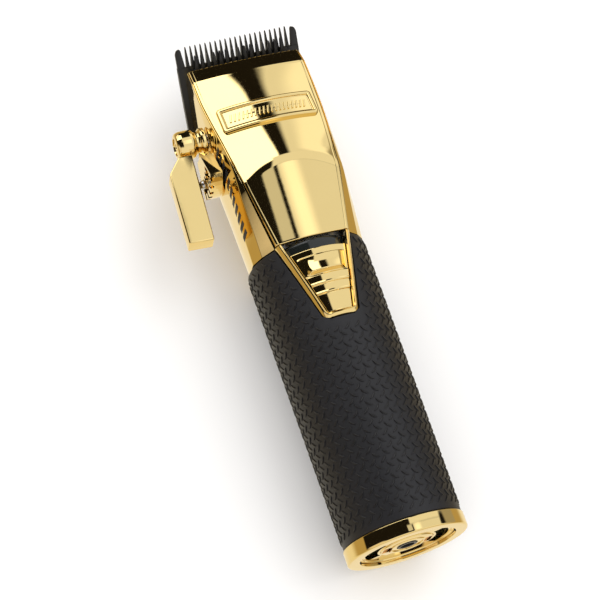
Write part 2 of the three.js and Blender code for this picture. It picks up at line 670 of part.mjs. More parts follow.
function motorBearing(y) {
  const [bore, outer, length] = [MOTOR.shaftR + 0.12, MOTOR.mouthR - 0.1, 1.4];
  return motorAt(spun([[bore, y], [outer, y], [outer, y + length], [bore, y + length]], 24));
}

const motorShaft = () => motorAt(bar("y", [0, MOTOR.start + 0.6, 0], CAM.start - 0.4, MOTOR.shaftR));

// A balanced disc on the shaft with the drive pin beside its centre.
function driveCam() {
  const disc = bar("y", [0, CAM.start, 0], CAM.end, CAM.discR, 32);
  const relief = box([-6, -1.2], [CAM.start + 3, CAM.end + 1], [-6, 6]);
  const pin = bar("y", [CAM.eccentricity, CAM.end - 1, 0], CAM.pinEnd, CAM.pinR);
  return motorAt(disc.subtract(relief).add(pin));
}

// The cradle under the motor, with a foot on the housing's back for the rear screws.
function motorCradle() {
  const [inner, low, high] = [MOTOR.radius + GAP, 105, 129];
  const arc = spun([[inner, low], [CRADLE_R, low], [CRADLE_R, high], [inner, high]], 36);
  const half = motorAt(arc).subtract(box([-20, 20], [90, 140], [-1, 30]));
  const feet = REAR_SCREW.ys.map((y) => {
    const hole = bar("z", [0, y, -12.4], -20, 1.3);
    return bar("z", [0, y, -10.7], -17.6, 3).subtract(hole);
  });
  return joined(half, ...feet);
}

function rearScrew(y) {
  const head = bar("z", [0, y, BACK + 0.3], BACK + 0.9, REAR_SCREW.headR);
  return head.add(bar("z", [0, y, BACK + 0.8], -13, REAR_SCREW.shankR));
}

const circuitBoard = () => box([-BOARD.half, BOARD.half], [BOARD.low, BOARD.high], [BOARD.under, BOARD.top]);
const slideSwitch = () => box([-4, 4], [BOARD.low + 1.1, BOARD.high - 0.4], [BOARD.top + GAP, 11.6]);
const chargeBoard = () => bar("y", [0, JACK.end + GAP, 0], JACK.end + 0.8, 12.6, 32);

function contactPad(side) {
  const { inner, outer, half } = CONTACT;
  return box(side > 0 ? [inner, outer] : [-outer, -inner], [1.4, 9.6], [-half, half]);
}

// A battery lead from the cell's front end to the board.
function batteryLead(side) {
  const route = [[side * 4, 78.4, 3], [side * 5, 80.2, 3.4], [side * 7.5, 84, 4.2], [side * 8.5, 90, 5.4]];
  const curve = new THREE.CatmullRomCurve3(route.map((point) => new THREE.Vector3(...point)));
  return solid(wireAlong(curve, 0.6, 8, 8));
}

function batteryCell() {
  const { radius, start, end } = BATTERY;
  const [dimpleR, dimple] = [3, 0.4];
  const profile = [
    [0, start], [radius, start], [radius, end], [dimpleR, end], [dimpleR, end - dimple], [0, end - dimple],
  ];
  return spun(profile, 36);
}

// ---- Assembly ----
function piece(name, made, material) {
  const mesh = new THREE.Mesh(geometryOf(made), material);
  mesh.name = name;
  return mesh;
}

const clipper = new THREE.Group();
clipper.add(
  piece("rear_housing", rearHousing(), gold),
  piece("front_cover", frontCover(), gold),
  piece("name_plate", namePlate(), gold),
  piece("handle_sleeve", handleSleeve(), sleeveRubber),
  piece("handle_tube", handleTube(), aluminium),
  piece("end_ring", endRing(), gold),
  piece("end_plate", endPlate(), gold),
  piece("charging_jack", chargingJack(), blackPlastic),
  piece("jack_pin", bar("y", [0, 2.4, 0], 8.8, 0.8), steel),
  piece("contact_left", contactPad(-1), copper),
  piece("contact_right", contactPad(1), copper),
  piece("charge_board", chargeBoard(), boardGreen),
  piece("battery_cell", batteryCell(), cellWrap),
  piece("battery_cradle", batteryCradle(), whitePlastic),
  piece("battery_lead_red", batteryLead(1), wireRed),
  piece("battery_lead_black", batteryLead(-1), blackPlastic),
  piece("circuit_board", circuitBoard(), boardGreen),
  piece("slide_switch", slideSwitch(), blackPlastic),
  piece("switch_frame", switchFrame(), gold),
  piece("switch_floor", switchFloor(), blackPlastic),
  piece("switch_slider", switchSlider(), gold),
  piece("motor_can", motorCan(), steel),
  piece("motor_end_bell", motorEndBell(), whitePlastic),
  piece("motor_magnet", motorMagnet(), blackSteel),
  piece("rotor_core", rotorCore(), copper),
  piece("motor_bearing_rear", motorBearing(94.5), steel),
  piece("motor_bearing_front", motorBearing(122.7), steel),
  piece("motor_shaft", motorShaft(), steel),
  piece("drive_cam", driveCam(), whitePlastic),
  piece("motor_cradle", motorCradle(), blackPlastic),
  piece("lever_hub", leverHub(), gold),
  piece("lever_paddle", leverPaddle(), gold),
  piece("lever_shaft", leverShaft(), steel),
  piece("lever_screw", leverScrew(), gold),
  piece("detent_plate", detentPlate(), gold),
  piece("detent_ball", detentBall(), steel),
  piece("detent_spring", detentSpring(), steel),
);
REAR_SCREW.ys.forEach((y, i) => {
  clipper.add(piece(["rear_screw_lower", "rear_screw_upper"][i], rearScrew(y), blackSteel));
});

const bladeGroup = new THREE.Group();
bladeGroup.applyMatrix4(blade);
bladeGroup.add(
  piece("fixed_blade", fixedBlade(), blackSteel),
  piece("cutter_blade", cutterBlade(), blackSteel),
  piece("cutter_yoke", cutterYoke(), blackPlastic),
  piece("cutter_carriage", cutterCarriage(), steel),
  piece("tension_spring", tensionSpring(), steel),
  piece("blade_base", bladeBase(), aluminium),
);
BLADE_SCREW.xs.forEach((x, i) => {
  bladeGroup.add(piece(["blade_screw_left", "blade_screw_right"][i], bladeScrew(x), steel));
});
clipper.add(bladeGroup);

clipper.position.set(0, -PAD_Y, -BACK);

const root = new THREE.Group();
root.add(clipper);
export default root;
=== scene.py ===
import json
import bpy
import numpy as np
from mathutils import Matrix, Vector


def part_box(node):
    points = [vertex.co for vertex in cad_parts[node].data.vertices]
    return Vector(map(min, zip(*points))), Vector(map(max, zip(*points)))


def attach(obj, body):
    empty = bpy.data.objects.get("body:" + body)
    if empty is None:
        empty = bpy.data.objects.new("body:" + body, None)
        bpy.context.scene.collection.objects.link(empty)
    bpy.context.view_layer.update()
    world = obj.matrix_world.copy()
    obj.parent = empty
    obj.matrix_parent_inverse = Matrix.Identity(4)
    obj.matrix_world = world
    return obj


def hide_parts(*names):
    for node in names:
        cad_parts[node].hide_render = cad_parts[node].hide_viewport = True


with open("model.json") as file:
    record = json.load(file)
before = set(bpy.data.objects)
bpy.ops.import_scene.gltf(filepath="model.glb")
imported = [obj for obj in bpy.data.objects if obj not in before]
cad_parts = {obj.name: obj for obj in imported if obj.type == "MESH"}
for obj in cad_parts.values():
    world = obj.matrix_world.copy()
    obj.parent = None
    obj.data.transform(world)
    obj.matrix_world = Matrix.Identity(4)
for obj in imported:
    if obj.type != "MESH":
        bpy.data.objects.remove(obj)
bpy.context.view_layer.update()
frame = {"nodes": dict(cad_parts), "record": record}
scene = bpy.context.scene

# The clipper is drawn in millimetres in its own frame: the handle's axis is y, y = 0 is the flat end of the
# handle and +z is the front. The end ring's box says where that frame lies in the row frame.
ringLow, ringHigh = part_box("end_ring")
ownOrigin = np.array([0, ringLow.y, (ringLow.z + ringHigh.z) / 2])


def toRow(points):
    return np.asarray(points, float) / 1000 + ownOrigin


print("frame: clipper origin at", [round(float(v), 4) for v in ownOrigin])


# A mesh from clipper millimetres. Its normals are turned outwards, and edges sharper than `crease` stay crisp.
def makePiece(name, points, faces, material, body, replaced=(), crease=32, slotName=None):
    mesh = bpy.data.meshes.new(name)
    mesh.from_pydata(toRow(np.asarray(points).reshape(-1, 3)).tolist(), [], faces)
    piece = bpy.data.objects.new(name, mesh)
    scene.collection.objects.link(piece)
    tidyMesh(piece, crease)
    mesh.materials.append(material)
    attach(piece, body)
    if replaced:
        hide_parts(*replaced)
    return piece


def tidyMesh(piece, crease):
    bpy.context.view_layer.objects.active = piece
    bpy.ops.object.select_all(action="DESELECT")
    piece.select_set(True)
    bpy.ops.object.mode_set(mode="EDIT")
    bpy.ops.mesh.select_all(action="SELECT")
    bpy.ops.mesh.remove_doubles(threshold=1e-6)
    bpy.ops.mesh.normals_make_consistent(inside=False)
    bpy.ops.object.mode_set(mode="OBJECT")
    shadeBy(piece.data, crease)


def shadeBy(mesh, crease):
    mesh.polygons.foreach_set("use_smooth", np.ones(len(mesh.polygons), bool))
    mesh.set_sharp_from_angle(angle=np.radians(crease))


# Quads between neighbouring rings of points, (rings, points, 3), closed round each ring, with flat ends.
def ringFaces(count, around):
    i, j = np.meshgrid(np.arange(count - 1), np.arange(around), indexing="ij")
    a = i * around + j
    b = i * around + (j + 1) % around
    faces = np.stack([a, b, b + around, a + around], -1).reshape(-1, 4).tolist()
    last = (count - 1) * around
    return faces + [list(range(around))[::-1], list(range(last, last + around))]


# Several equal closed tubes of rings in one mesh: the array is (tubes, rings, points, 3).
def manyTubes(tubes):
    number, count, around = tubes.shape[:3]
    one = ringFaces(count, around)
    step = count * around
    return [[v + k * step for v in face] for k in range(number) for face in one]


# A corner eased into a short parabola that starts and ends `reach` along its two sides.
def eased(corners, reach, steps=5):
    corners = np.asarray(corners, float)
    reach = np.broadcast_to(np.asarray(reach, float), corners.shape[:-1])[..., None]
    before = np.roll(corners, 1, -2) - corners
    after = np.roll(corners, -1, -2) - corners
    start = corners + before / np.linalg.norm(before, axis=-1, keepdims=True) * reach
    end = corners + after / np.linalg.norm(after, axis=-1, keepdims=True) * reach
    s = np.linspace(0, 1, steps)[:, None]
    a, b, c = start[..., None, :], corners[..., None, :], end[..., None, :]
    eases = (1 - s) ** 2 * a + 2 * s * (1 - s) * b + s**2 * c
    return eases.reshape(*corners.shape[:-2], -1, 2)


# A profile of (radius, along) points turned about an axis through `centre`; "y" is the handle, "x" the lever.
def turned(profile, axis="y", centre=(0, 0, 0), sides=144):
    angle = np.linspace(0, 2 * np.pi, sides, endpoint=False)[:, None]
    radius, along = np.asarray(profile, float).T
    across = radius * np.sin(angle), radius * np.cos(angle)
    length = np.broadcast_to(along, across[0].shape)
    parts = {"y": (across[0], length, across[1]), "x": (length, across[0], across[1])}[axis]
    return np.stack(parts, -1) + np.asarray(centre, float)


def turnedFaces(sides, around):
    i, j = np.meshgrid(np.arange(sides), np.arange(around), indexing="ij")
    nextSide, nextPoint = (i + 1) % sides, (j + 1) % around
    quads = [i * around + j, i * around + nextPoint, nextSide * around + nextPoint, nextSide * around + j]
    return np.stack(quads, -1).reshape(-1, 4).tolist()


def turnedPiece(name, profile, material, body, axis="y", centre=(0, 0, 0), sides=144, **more):
    points = turned(profile, axis, centre, sides)
    return makePiece(name, points, turnedFaces(sides, len(profile)), material, body, **more)


# Cuts the tools out of a piece and writes the result into its mesh.
def carve(piece, tools, crease=32):
    for tool in tools:
        cut = piece.modifiers.new("cut", "BOOLEAN")
        cut.operation, cut.object, cut.solver = "DIFFERENCE", tool, "EXACT"
    shaped = piece.evaluated_get(bpy.context.evaluated_depsgraph_get())
    mesh = bpy.data.meshes.new_from_object(shaped)
    piece.modifiers.clear()
    piece.data = mesh
    for tool in tools:
        bpy.data.objects.remove(tool)
    shadeBy(mesh, crease)
    return piece


# A plain tool body for carving: a flat outline carried through a depth, placed by `lay`.
def cuttingTool(outline, low, high, lay=None):
    outline = np.asarray(outline, float)
    twice = np.broadcast_to(outline, (2, *outline.shape))
    levels = np.broadcast_to(np.array([low, high], float)[:, None, None], (2, len(outline), 1))
    rings = np.concatenate([twice, levels], -1)
    mesh = bpy.data.meshes.new("tool")
    placed = toRow((rings if lay is None else lay(rings)).reshape(-1, 3))
    mesh.from_pydata(placed.tolist(), [], ringFaces(2, len(outline)))
    tool = bpy.data.objects.new("tool", mesh)
    scene.collection.objects.link(tool)
    tidyMesh(tool, 30)
    return tool


# Edge rounding of a closed flat outline: rings that step in and up round a quarter circle at both faces.
def plateRings(outline, low, high, edge, steps=4):
    outline = np.asarray(outline, float)
    after = np.roll(outline, -1, 0) - outline
    side = np.stack([after[:, 1], -after[:, 0]], -1) / np.linalg.norm(after, axis=1, keepdims=True)
    x, y = outline.T
    sign = np.sign(np.sum(x * np.roll(y, -1) - np.roll(x, -1) * y))
    normal = side + np.roll(side, 1, 0)
    normal /= np.maximum(np.sum(normal * side, 1), 0.3)[:, None]
    turn = np.linspace(0, np.pi / 2, steps)
    inward = np.concatenate([edge * (1 - np.sin(turn)), edge * (1 - np.cos(turn))])
    level = np.concatenate([low + edge * (1 - np.cos(turn)), high - edge * (1 - np.sin(turn))])
    flat = outline - sign * normal * inward[:, None, None]
    return np.concatenate([flat, np.broadcast_to(level[:, None, None], (*flat.shape[:2], 1))], -1)


# One finish: two tones mixed by cloudy noise, roughness that wanders with it, and a fine bump.
finishes = {
    "gold_plate": dict(tones=((0.82, 0.63, 0.27), (0.87, 0.68, 0.305)), metal=1.0, rough=(0.025, 0.055),
                       cloud=60, grain=900, lift=0.012, stretch=(1, 1, 1)),
    "sleeve_rubber": dict(tones=((0.0055, 0.0056, 0.0078), (0.0092, 0.0093, 0.0125)), metal=0.0,
                          rough=(0.42, 0.56), cloud=90, grain=5200, lift=0.16, stretch=(1, 1, 1)),
    # The tread's rubber is painted darker than the sleeve's: painted shade for the dark shading its raised ridges
    # show.
    "tread_rubber_painted_shade": dict(tones=((0.0022, 0.0022, 0.003), (0.0045, 0.0045, 0.006)), metal=0.0, rough=(0.30, 0.44),
                         cloud=300, grain=4000, lift=0.05, stretch=(1, 1, 1)),
    "black_steel": dict(tones=((0.010, 0.0095, 0.0095), (0.020, 0.019, 0.018)), metal=0.35, rough=(0.30, 0.44),
                        cloud=200, grain=1500, lift=0.05, stretch=(1, 0.06, 1)),
    "black_plastic": dict(tones=((0.012, 0.012, 0.013), (0.020, 0.020, 0.021)), metal=0.0, rough=(0.34, 0.48),
                          cloud=120, grain=3000, lift=0.08, stretch=(1, 1, 1)),
    "black_gloss": dict(tones=((0.009, 0.011, 0.011), (0.014, 0.017, 0.016)), metal=0.0, rough=(0.06, 0.14),
                        cloud=150, grain=1200, lift=0.01, stretch=(1, 1, 1)),
    "white_plastic": dict(tones=((0.72, 0.71, 0.66), (0.80, 0.79, 0.75)), metal=0.0, rough=(0.38, 0.50),
                          cloud=90, grain=2400, lift=0.05, stretch=(1, 1, 1)),
    "steel": dict(tones=((0.48, 0.48, 0.49), (0.60, 0.60, 0.61)), metal=1.0, rough=(0.18, 0.30),
                  cloud=150, grain=1800, lift=0.04, stretch=(1, 0.1, 1)),
    "aluminium": dict(tones=((0.56, 0.57, 0.58), (0.66, 0.67, 0.68)), metal=1.0, rough=(0.30, 0.44),
                      cloud=120, grain=2200, lift=0.05, stretch=(0.15, 1, 1)),
    "copper": dict(tones=((0.62, 0.29, 0.13), (0.74, 0.38, 0.18)), metal=1.0, rough=(0.22, 0.36),
                   cloud=160, grain=2600, lift=0.10, stretch=(1, 0.1, 1)),
    "magnet_black": dict(tones=((0.045, 0.045, 0.05), (0.075, 0.075, 0.08)), metal=0.6, rough=(0.45, 0.6),
                         cloud=200, grain=3500, lift=0.12, stretch=(1, 1, 1)),
    "board_green": dict(tones=((0.02, 0.13, 0.05), (0.03, 0.19, 0.08)), metal=0.0, rough=(0.25, 0.4),
                        cloud=260, grain=1600, lift=0.08, stretch=(1, 1, 1)),
    "cell_wrap": dict(tones=((0.035, 0.13, 0.36), (0.05, 0.17, 0.44)), metal=0.0, rough=(0.2, 0.32),
                      cloud=80, grain=900, lift=0.04, stretch=(1, 0.3, 1)),
    "red_wire": dict(tones=((0.42, 0.02, 0.015), (0.54, 0.03, 0.02)), metal=0.0, rough=(0.35, 0.48),
                     cloud=200, grain=2500, lift=0.05, stretch=(1, 1, 1)),
}


def makeFinish(name, tones, metal, rough, cloud, grain, lift, stretch):
    material = bpy.data.materials.new(name)
    material.use_nodes = True
    nodes, links = material.node_tree.nodes, material.node_tree.links
    shader = nodes["Principled BSDF"]
    shader.inputs["Metallic"].default_value = metal
    place = nodes.new("ShaderNodeTexCoord")
    laid = nodes.new("ShaderNodeMapping")
    laid.inputs["Scale"].default_value = stretch
    links.new(place.outputs["Object"], laid.inputs["Vector"])
    clouds = nodes.new("ShaderNodeTexNoise")
    clouds.inputs["Scale"].default_value = cloud
    clouds.inputs["Detail"].default_value = 4
    grains = nodes.new("ShaderNodeTexNoise")
    grains.inputs["Scale"].default_value = grain
    grains.inputs["Detail"].default_value = 3
    for texture in (clouds, grains):
        links.new(laid.outputs["Vector"], texture.inputs["Vector"])
    tint = nodes.new("ShaderNodeMix")
    tint.data_type = "RGBA"
    tint.inputs[6].default_value = (*tones[0], 1)
    tint.inputs[7].default_value = (*tones[1], 1)
    links.new(clouds.outputs["Fac"], tint.inputs[0])
    links.new(tint.outputs[2], shader.inputs["Base Color"])
    sheen = nodes.new("ShaderNodeMapRange")
    sheen.inputs["From Min"].default_value = 0.3
    sheen.inputs["From Max"].default_value = 0.7
    sheen.inputs["To Min"].default_value, sheen.inputs["To Max"].default_value = rough
    links.new(grains.outputs["Fac"], sheen.inputs["Value"])
    links.new(sheen.outputs["Result"], shader.inputs["Roughness"])
    bump = nodes.new("ShaderNodeBump")
    bump.inputs["Strength"].default_value = lift
    bump.inputs["Distance"].default_value = 0.0002
    links.new(grains.outputs["Fac"], bump.inputs["Height"])
    links.new(bump.outputs["Normal"], shader.inputs["Normal"])
    return material


finish = {name: makeFinish(name, **values) for name, values in finishes.items()}
for part in frame["record"]["subparts"]:
    node = frame["nodes"][part["node"]]
    node.data.materials.clear()
    node.data.materials.append(finish[part["material_slot"]])
print("materials:", len(finish))

# Readings of the head at places along y: half-width of the face, how far it is crowned, width of the facet at
# its edge, drop to the facet, half-width over the side walls, where those walls start, and the back.
headTables = {
    "faceHalf": ((90, 11.0), (99.4, 12.3), (109, 14.0), (120, 15.9), (136, 17.6), (146, 18.6), (156, 19.3),
                 (164.4, 19.4), (172, 19.15)),
    "crown": ((90, 0.015), (126, 0.015), (133, 0.0112), (140, 0.0088), (156, 0.0076), (164.4, 0.0045),
              (172, 0.0018)),
    "facet": ((90, 7.0), (99.4, 5.6), (108, 4.2), (118, 2.7), (127, 1.1), (134, 0.3), (172, 0.3)),
    "lipDrop": ((90, 3.0), (99.4, 2.3), (112, 1.3), (120, 0.7), (128, 0.06), (172, 0.06)),
    "wallHalf": ((90, 18.5), (99.4, 18.7), (104, 18.9), (112, 19.2), (120, 19.4), (130, 19.85), (148, 19.85),
                 (164.4, 19.6), (172, 19.35)),
    "wallTop": ((90, 5.0), (99.4, 6.3), (112, 9.0), (118, 10.3), (126, 12.0), (131, 12.6), (148, 12.0),
                (156, 10.8), (172, 7.4)),
    "backZ": ((90, -19.75), (128, -19.75), (137, -19.0), (144, -16.6), (150, -13.2), (155.5, -9.2),
              (172, 5.2)),
}
brow = dict(y=126.8, z=22.75, fall=0.185, bend=0.001, chamferY=164.4, chamferFall=0.5, chamferEase=0.8,
            noseY=170.9, collarY=99.4)
thumbRest = dict(slope=0.148, crown=0.0085, round=0.75)
bladeLie = dict(tipY=179.4, tipZ=11.5, angle=np.radians(40))


# A table read with its corners rounded off: the mean of straight-line readings over a short stretch.
def reading(name, y, spread=2.2):
    at, value = np.array(headTables[name]).T
    offsets = np.linspace(-spread, spread, 9)
    return np.mean([np.interp(np.asarray(y) + step, at, value) for step in offsets], 0)


# The smaller of two heights, blended where they meet over about `soft`.
def softMin(a, b, soft):
    gap = np.maximum(soft - np.abs(a - b), 0) / soft
    return np.minimum(a, b) - gap * gap * soft / 4


# Height of the face: a crowned strip falls from the brow to the nose, and the thumb rest rises to meet it. The
# brow is the rounded ridge where they cross. It bows back at its ends, as the strip is the more crowned.
def faceHeight(x, y):
    y = np.asarray(y, float)
    run = np.minimum(y, brow["chamferY"]) - brow["y"]
    edge, ease = np.maximum(y - brow["chamferY"], 0), brow["chamferEase"]
    drop = brow["chamferFall"] * np.where(edge > ease, edge - ease / 2, edge * edge / (2 * ease))
    middle = brow["z"] - brow["fall"] * run - brow["bend"] * run * np.maximum(run, 0) - drop
    rest = brow["z"] - thumbRest["slope"] * (brow["y"] - y) - x * x * thumbRest["crown"]
    return softMin(middle - x * x * reading("crown", y), rest, thumbRest["round"])


housing = dict(wall=1.6, lipIn=1.3, seat=1.2, seam=0.16, shoulder=4, padHalf=9, padSpread=0.15, padFrom=128,
               noseFrom=150, noseOver=7.5, facetOut=0.67, facetDown=0.745, leverY=146.5, leverZ=6.5,
               leverHoleR=2.9, screwY=(108, 126), screwHoleR=1.5, screwSeatR=2.8, screwSeatZ=-18.7)
# What the blades take out of the housing, in the blade's own frame: half-width, span along y and depth. In turn
# the cutter's room, the room behind it for the drive, and the seat of the fixed blade.
bladeRooms = ((18.1, (-21, 8), (-6, 1.85)), (17.4, (-31.4, -15), (-6, 7)), (22, (-30.5, 5), (-4, 0.3)))


# Right-hand outline of the housing at each y, `inset` inside its outer skin: lip, facet, leaning wall, wall and
# a quarter ellipse down to the flat back. Towards the nose the back closes up under the blade.
def housingSide(y, inset):
    h = housing
    half, wall = reading("faceHalf", y) + h["seam"], reading("wallHalf", y) - inset
    back = reading("backZ", y) + inset
    edge = faceHeight(half, y)
    noseward = np.clip((y - h["noseFrom"]) / h["noseOver"], 0, 1) ** 2
    low = h["shoulder"] * (1 - noseward) + (back + 0.5) * noseward
    pad = h["padHalf"] + h["padSpread"] * np.maximum(y - h["padFrom"], 0)
    pad = pad * (1 - noseward) + (wall - 0.5) * noseward
    top = np.minimum(reading("wallTop", y), edge - 1.1)
    lip = edge - reading("lipDrop", y) - (h["lipIn"] if inset else 0)
    facet = reading("facet", y)
    across = [half, half, half + h["facetOut"] * facet - inset, wall, wall, wall * 0]
    height = [edge - reading("lipDrop", y) - h["seat"], lip, lip - h["facetDown"] * facet, top, low, low]
    corners = np.stack([np.stack(across, -1), np.stack(height, -1)], -1)
    sides = np.linalg.norm(np.diff(corners, axis=-2), axis=-1)
    soft = np.minimum(0.5 + 2.3 * np.clip((y - 112) / 14, 0, 1), 0.4 * np.minimum(sides[:, 2], sides[:, 3]))
    fold = np.minimum(0.3, 0.4 * np.minimum(sides[:, 1], sides[:, 2]))
    reach = np.stack([y * 0, np.minimum(0.2, fold) * (inset == 0), fold, soft, y * 0, y * 0], -1) + 1e-4
    eases = eased(corners, reach, 7).reshape(len(y), 6, 7, 2)[:, 1:4].reshape(len(y), -1, 2)
    turn = np.linspace(0, np.pi / 2, 28)
    curve = np.stack([pad[:, None] + (wall - pad)[:, None] * np.cos(turn),
                      low[:, None] - (low - back)[:, None] * np.sin(turn)], -1)
    flat = np.stack([pad[:, None] * np.linspace(0.9, 0, 6), back[:, None] + np.zeros(6)], -1)
    return np.concatenate([corners[:, :1], eases, curve, flat], 1)


def mirrored(path):
    return path[:, ::-1] * [-1, 1]


def atStations(y, sections):
    return np.stack([sections[..., 0], np.broadcast_to(y[:, None], sections.shape[:2]), sections[..., 1]], -1)


# Places a flat tool's (across, along, height) in the blade's own tilted frame.
def inBladeFrame(points):
    x, y, z = np.moveaxis(np.asarray(points, float), -1, 0)
    cos, sin = np.cos(bladeLie["angle"]), np.sin(bladeLie["angle"])
    return np.stack([x, bladeLie["tipY"] + cos * y - sin * z, bladeLie["tipZ"] + sin * y + cos * z], -1)


def boxOutline(x0, x1, y0, y1):
    return [(x0, y0), (x1, y0), (x1, y1), (x0, y1)]


def circleOutline(radius, centre=(0, 0), sides=48):
    angle = np.linspace(0, 2 * np.pi, sides, endpoint=False)
    return np.stack([centre[0] + radius * np.cos(angle), centre[1] + radius * np.sin(angle)], -1)


def alongX(points):
    return np.stack([points[..., 2], points[..., 0], points[..., 1]], -1)


def alongY(points):
    return np.stack([points[..., 0], points[..., 2], points[..., 1]], -1)


def rearHousing():
    y = np.concatenate([np.linspace(99.4, 118, 26), np.linspace(118.6, 134, 36), np.linspace(134.8, 170.3, 72)])
    outer, inner = housingSide(y, 0), housingSide(y, housing["wall"])
    ring = np.concatenate([outer, mirrored(outer)[:, 1:], inner * [-1, 1], inner[:, ::-1]], 1)
    rings = atStations(y, ring)
    piece = makePiece("rear_housing_shell", rings, ringFaces(*rings.shape[:2]), finish["gold_plate"], "body",
                      replaced=("rear_housing",), slotName="gold_plate")
    tools = [cuttingTool(boxOutline(-half, half, *span), *depth, inBladeFrame) for half, span, depth in bladeRooms]
    leverHole = circleOutline(housing["leverHoleR"], (housing["leverY"], housing["leverZ"]))
    tools.append(cuttingTool(leverHole, -24, -14, alongX))
    for at in housing["screwY"]:
        tools += [cuttingTool(circleOutline(housing["screwHoleR"], (0, at)), -21, -10),
                  cuttingTool(circleOutline(housing["screwSeatR"], (0, at)), -21, housing["screwSeatZ"])]
    return carve(piece, tools)


cover = dict(thick=1.5, gap=0.16, grooveIn=1.05, grooveDeep=0.07, grooveHalf=0.16, rim=0.45, edge=0.30)


# The cover is a crowned strip. Near each long edge a fine groove runs, and both ends are rounded over.
def frontCover():
    near = np.linspace(0, np.pi / 2, 7)[:-1]
    lowEnd, highEnd = brow["collarY"] + 0.1, brow["noseY"]
    rim, edge = cover["rim"], cover["edge"]
    y = np.concatenate([lowEnd + rim * (1 - np.cos(near)), np.linspace(lowEnd + rim, 119, 34),
                        np.linspace(119.4, 130, 52), np.linspace(130.7, 162.5, 56), np.linspace(162.8, 166.5, 22),
                        np.linspace(166.9, highEnd - rim, 10), highEnd - rim * (1 - np.sin(near[1:])), [highEnd]])
    fromEnd = np.minimum(y - lowEnd, highEnd - y)
    dip = rim - np.sqrt(np.maximum(rim**2 - np.maximum(rim - fromEnd, 0) ** 2, 0))
    share = np.sin(np.linspace(-np.pi / 2, np.pi / 2, 141))
    half = (reading("faceHalf", y) - cover["gap"] - dip * 0.4)[:, None]
    x = half * share
    top = faceHeight(x, y[:, None]) - dip[:, None]
    edgeIn = half - np.abs(x)
    top -= cover["grooveDeep"] * np.exp(-(((edgeIn - cover["grooveIn"]) / cover["grooveHalf"]) ** 2))
    top -= edge * (1 - np.sqrt(np.clip(1 - (np.clip(edge - edgeIn, 0, edge) / edge) ** 2, 0, 1)))
    under = half * np.linspace(1, -1, 41)
    bottom = faceHeight(under, y[:, None]) - cover["thick"] + dip[:, None]
    ring = np.concatenate([np.stack([x, top], -1), np.stack([under, bottom], -1)], 1)
    rings = atStations(y, ring)
    return makePiece("front_cover_plate", rings, ringFaces(*rings.shape[:2]), finish["gold_plate"], "body",
                     replaced=("front_cover",), slotName="gold_plate", crease=40)


rearHousing()
frontCover()
print("head: housing and cover")


# Nested rounded rectangles, each `inset` inside the first: sides and corners keep the same point counts.
def nestedRectangles(halfX, halfY, corner, insets):
    quarter = np.linspace(0, np.pi / 2, 8)
    rings = []
    for inset in insets:
        a, b = halfX - inset, halfY - inset
        r = np.clip(corner - inset, 0.05, min(a, b))
        sides = []
        for turn, (sx, sy) in enumerate([(1, 1), (-1, 1), (-1, -1), (1, -1)]):
            angle = quarter + turn * np.pi / 2
            arc = np.stack([sx * (a - r) + r * np.cos(angle), sy * (b - r) + r * np.sin(angle)], -1)
            nextX, nextY = [(-1, 1), (-1, -1), (1, -1), (1, 1)][turn]
            goal = np.array([nextX * (a - r) + (0 if turn % 2 == 0 else nextX * r),
                             nextY * (b - r) + (nextY * r if turn % 2 == 0 else 0)])
            share = np.linspace(0, 1, (62, 16, 62, 16)[turn])[1:-1, None]
            sides += [arc, arc[-1] + (goal - arc[-1]) * share]
        rings.append(np.concatenate(sides))
    return np.stack(rings)


plate = dict(midY=146.35, halfX=16.2, halfY=4.85, corner=1.1, barCount=19, barReach=12.6, barWidth=0.62,
             barHigh=3.0, barLean=0.28, panelLift=0.42)


# The frame's height follows its inset from the edge: a rounded rim, then a step down to the sunk panel.
def namePlate():
    inset = np.array([0, 0, 0.06, 0.2, 0.42, 0.8, 1.1, 1.28, 1.4, 1.5, 1.62, 2.0, 2.6, 3.2, 3.8, 4.4, 4.8])
    rim = [-0.3, 0.7, 0.98, 1.14, 1.22, 1.22, 1.16, 1.04, 0.8, 0.52]
    lift = np.array(rim + [plate["panelLift"]] * (len(inset) - len(rim)))
    flat = nestedRectangles(plate["halfX"], plate["halfY"], plate["corner"], inset)
    x, y = flat[..., 0], flat[..., 1] + plate["midY"]
    top = np.stack([x, y, faceHeight(x, y) + lift[:, None]], -1)
    under = top[::-1].copy()
    under[..., 2] = (faceHeight(x, y) - 0.35)[::-1]
    rings = np.concatenate([under[:-1], top])
    makePiece("name_plate_frame", rings, ringFaces(*rings.shape[:2]), finish["gold_plate"], "body",
              replaced=("name_plate",), slotName="gold_plate", crease=50)
    middle = np.linspace(-1, 1, plate["barCount"]) * plate["barReach"]
    section = eased(boxOutline(-plate["barWidth"] / 2, plate["barWidth"] / 2, -0.2, 0.34), 0.14, 4)
    along = np.array([-1, -0.94, -0.6, 0, 0.6, 0.94, 1]) * plate["barHigh"] / 2
    shrink = np.array([0.55, 1, 1, 1, 1, 1, 0.55])
    bx = middle[:, None, None] + along[:, None] * plate["barLean"] + section[:, 0] * shrink[:, None]
    by = np.broadcast_to(plate["midY"] + along[:, None], bx.shape)
    proud = np.where(section[:, 1] > 0, section[:, 1] * shrink[:, None], section[:, 1])
    bars = np.stack([bx, by, faceHeight(bx, by) + plate["panelLift"] + proud], -1)
    makePiece("name_plate_bars", bars, manyTubes(bars), finish["gold_plate"], "body", slotName="gold_plate")


# A row of plain leaning bars let into the left wall, in black.
sideMarks = dict(count=11, startY=109, endY=137.5, width=1.5, high=3.4, lean=0.5, centreRise=1.0)


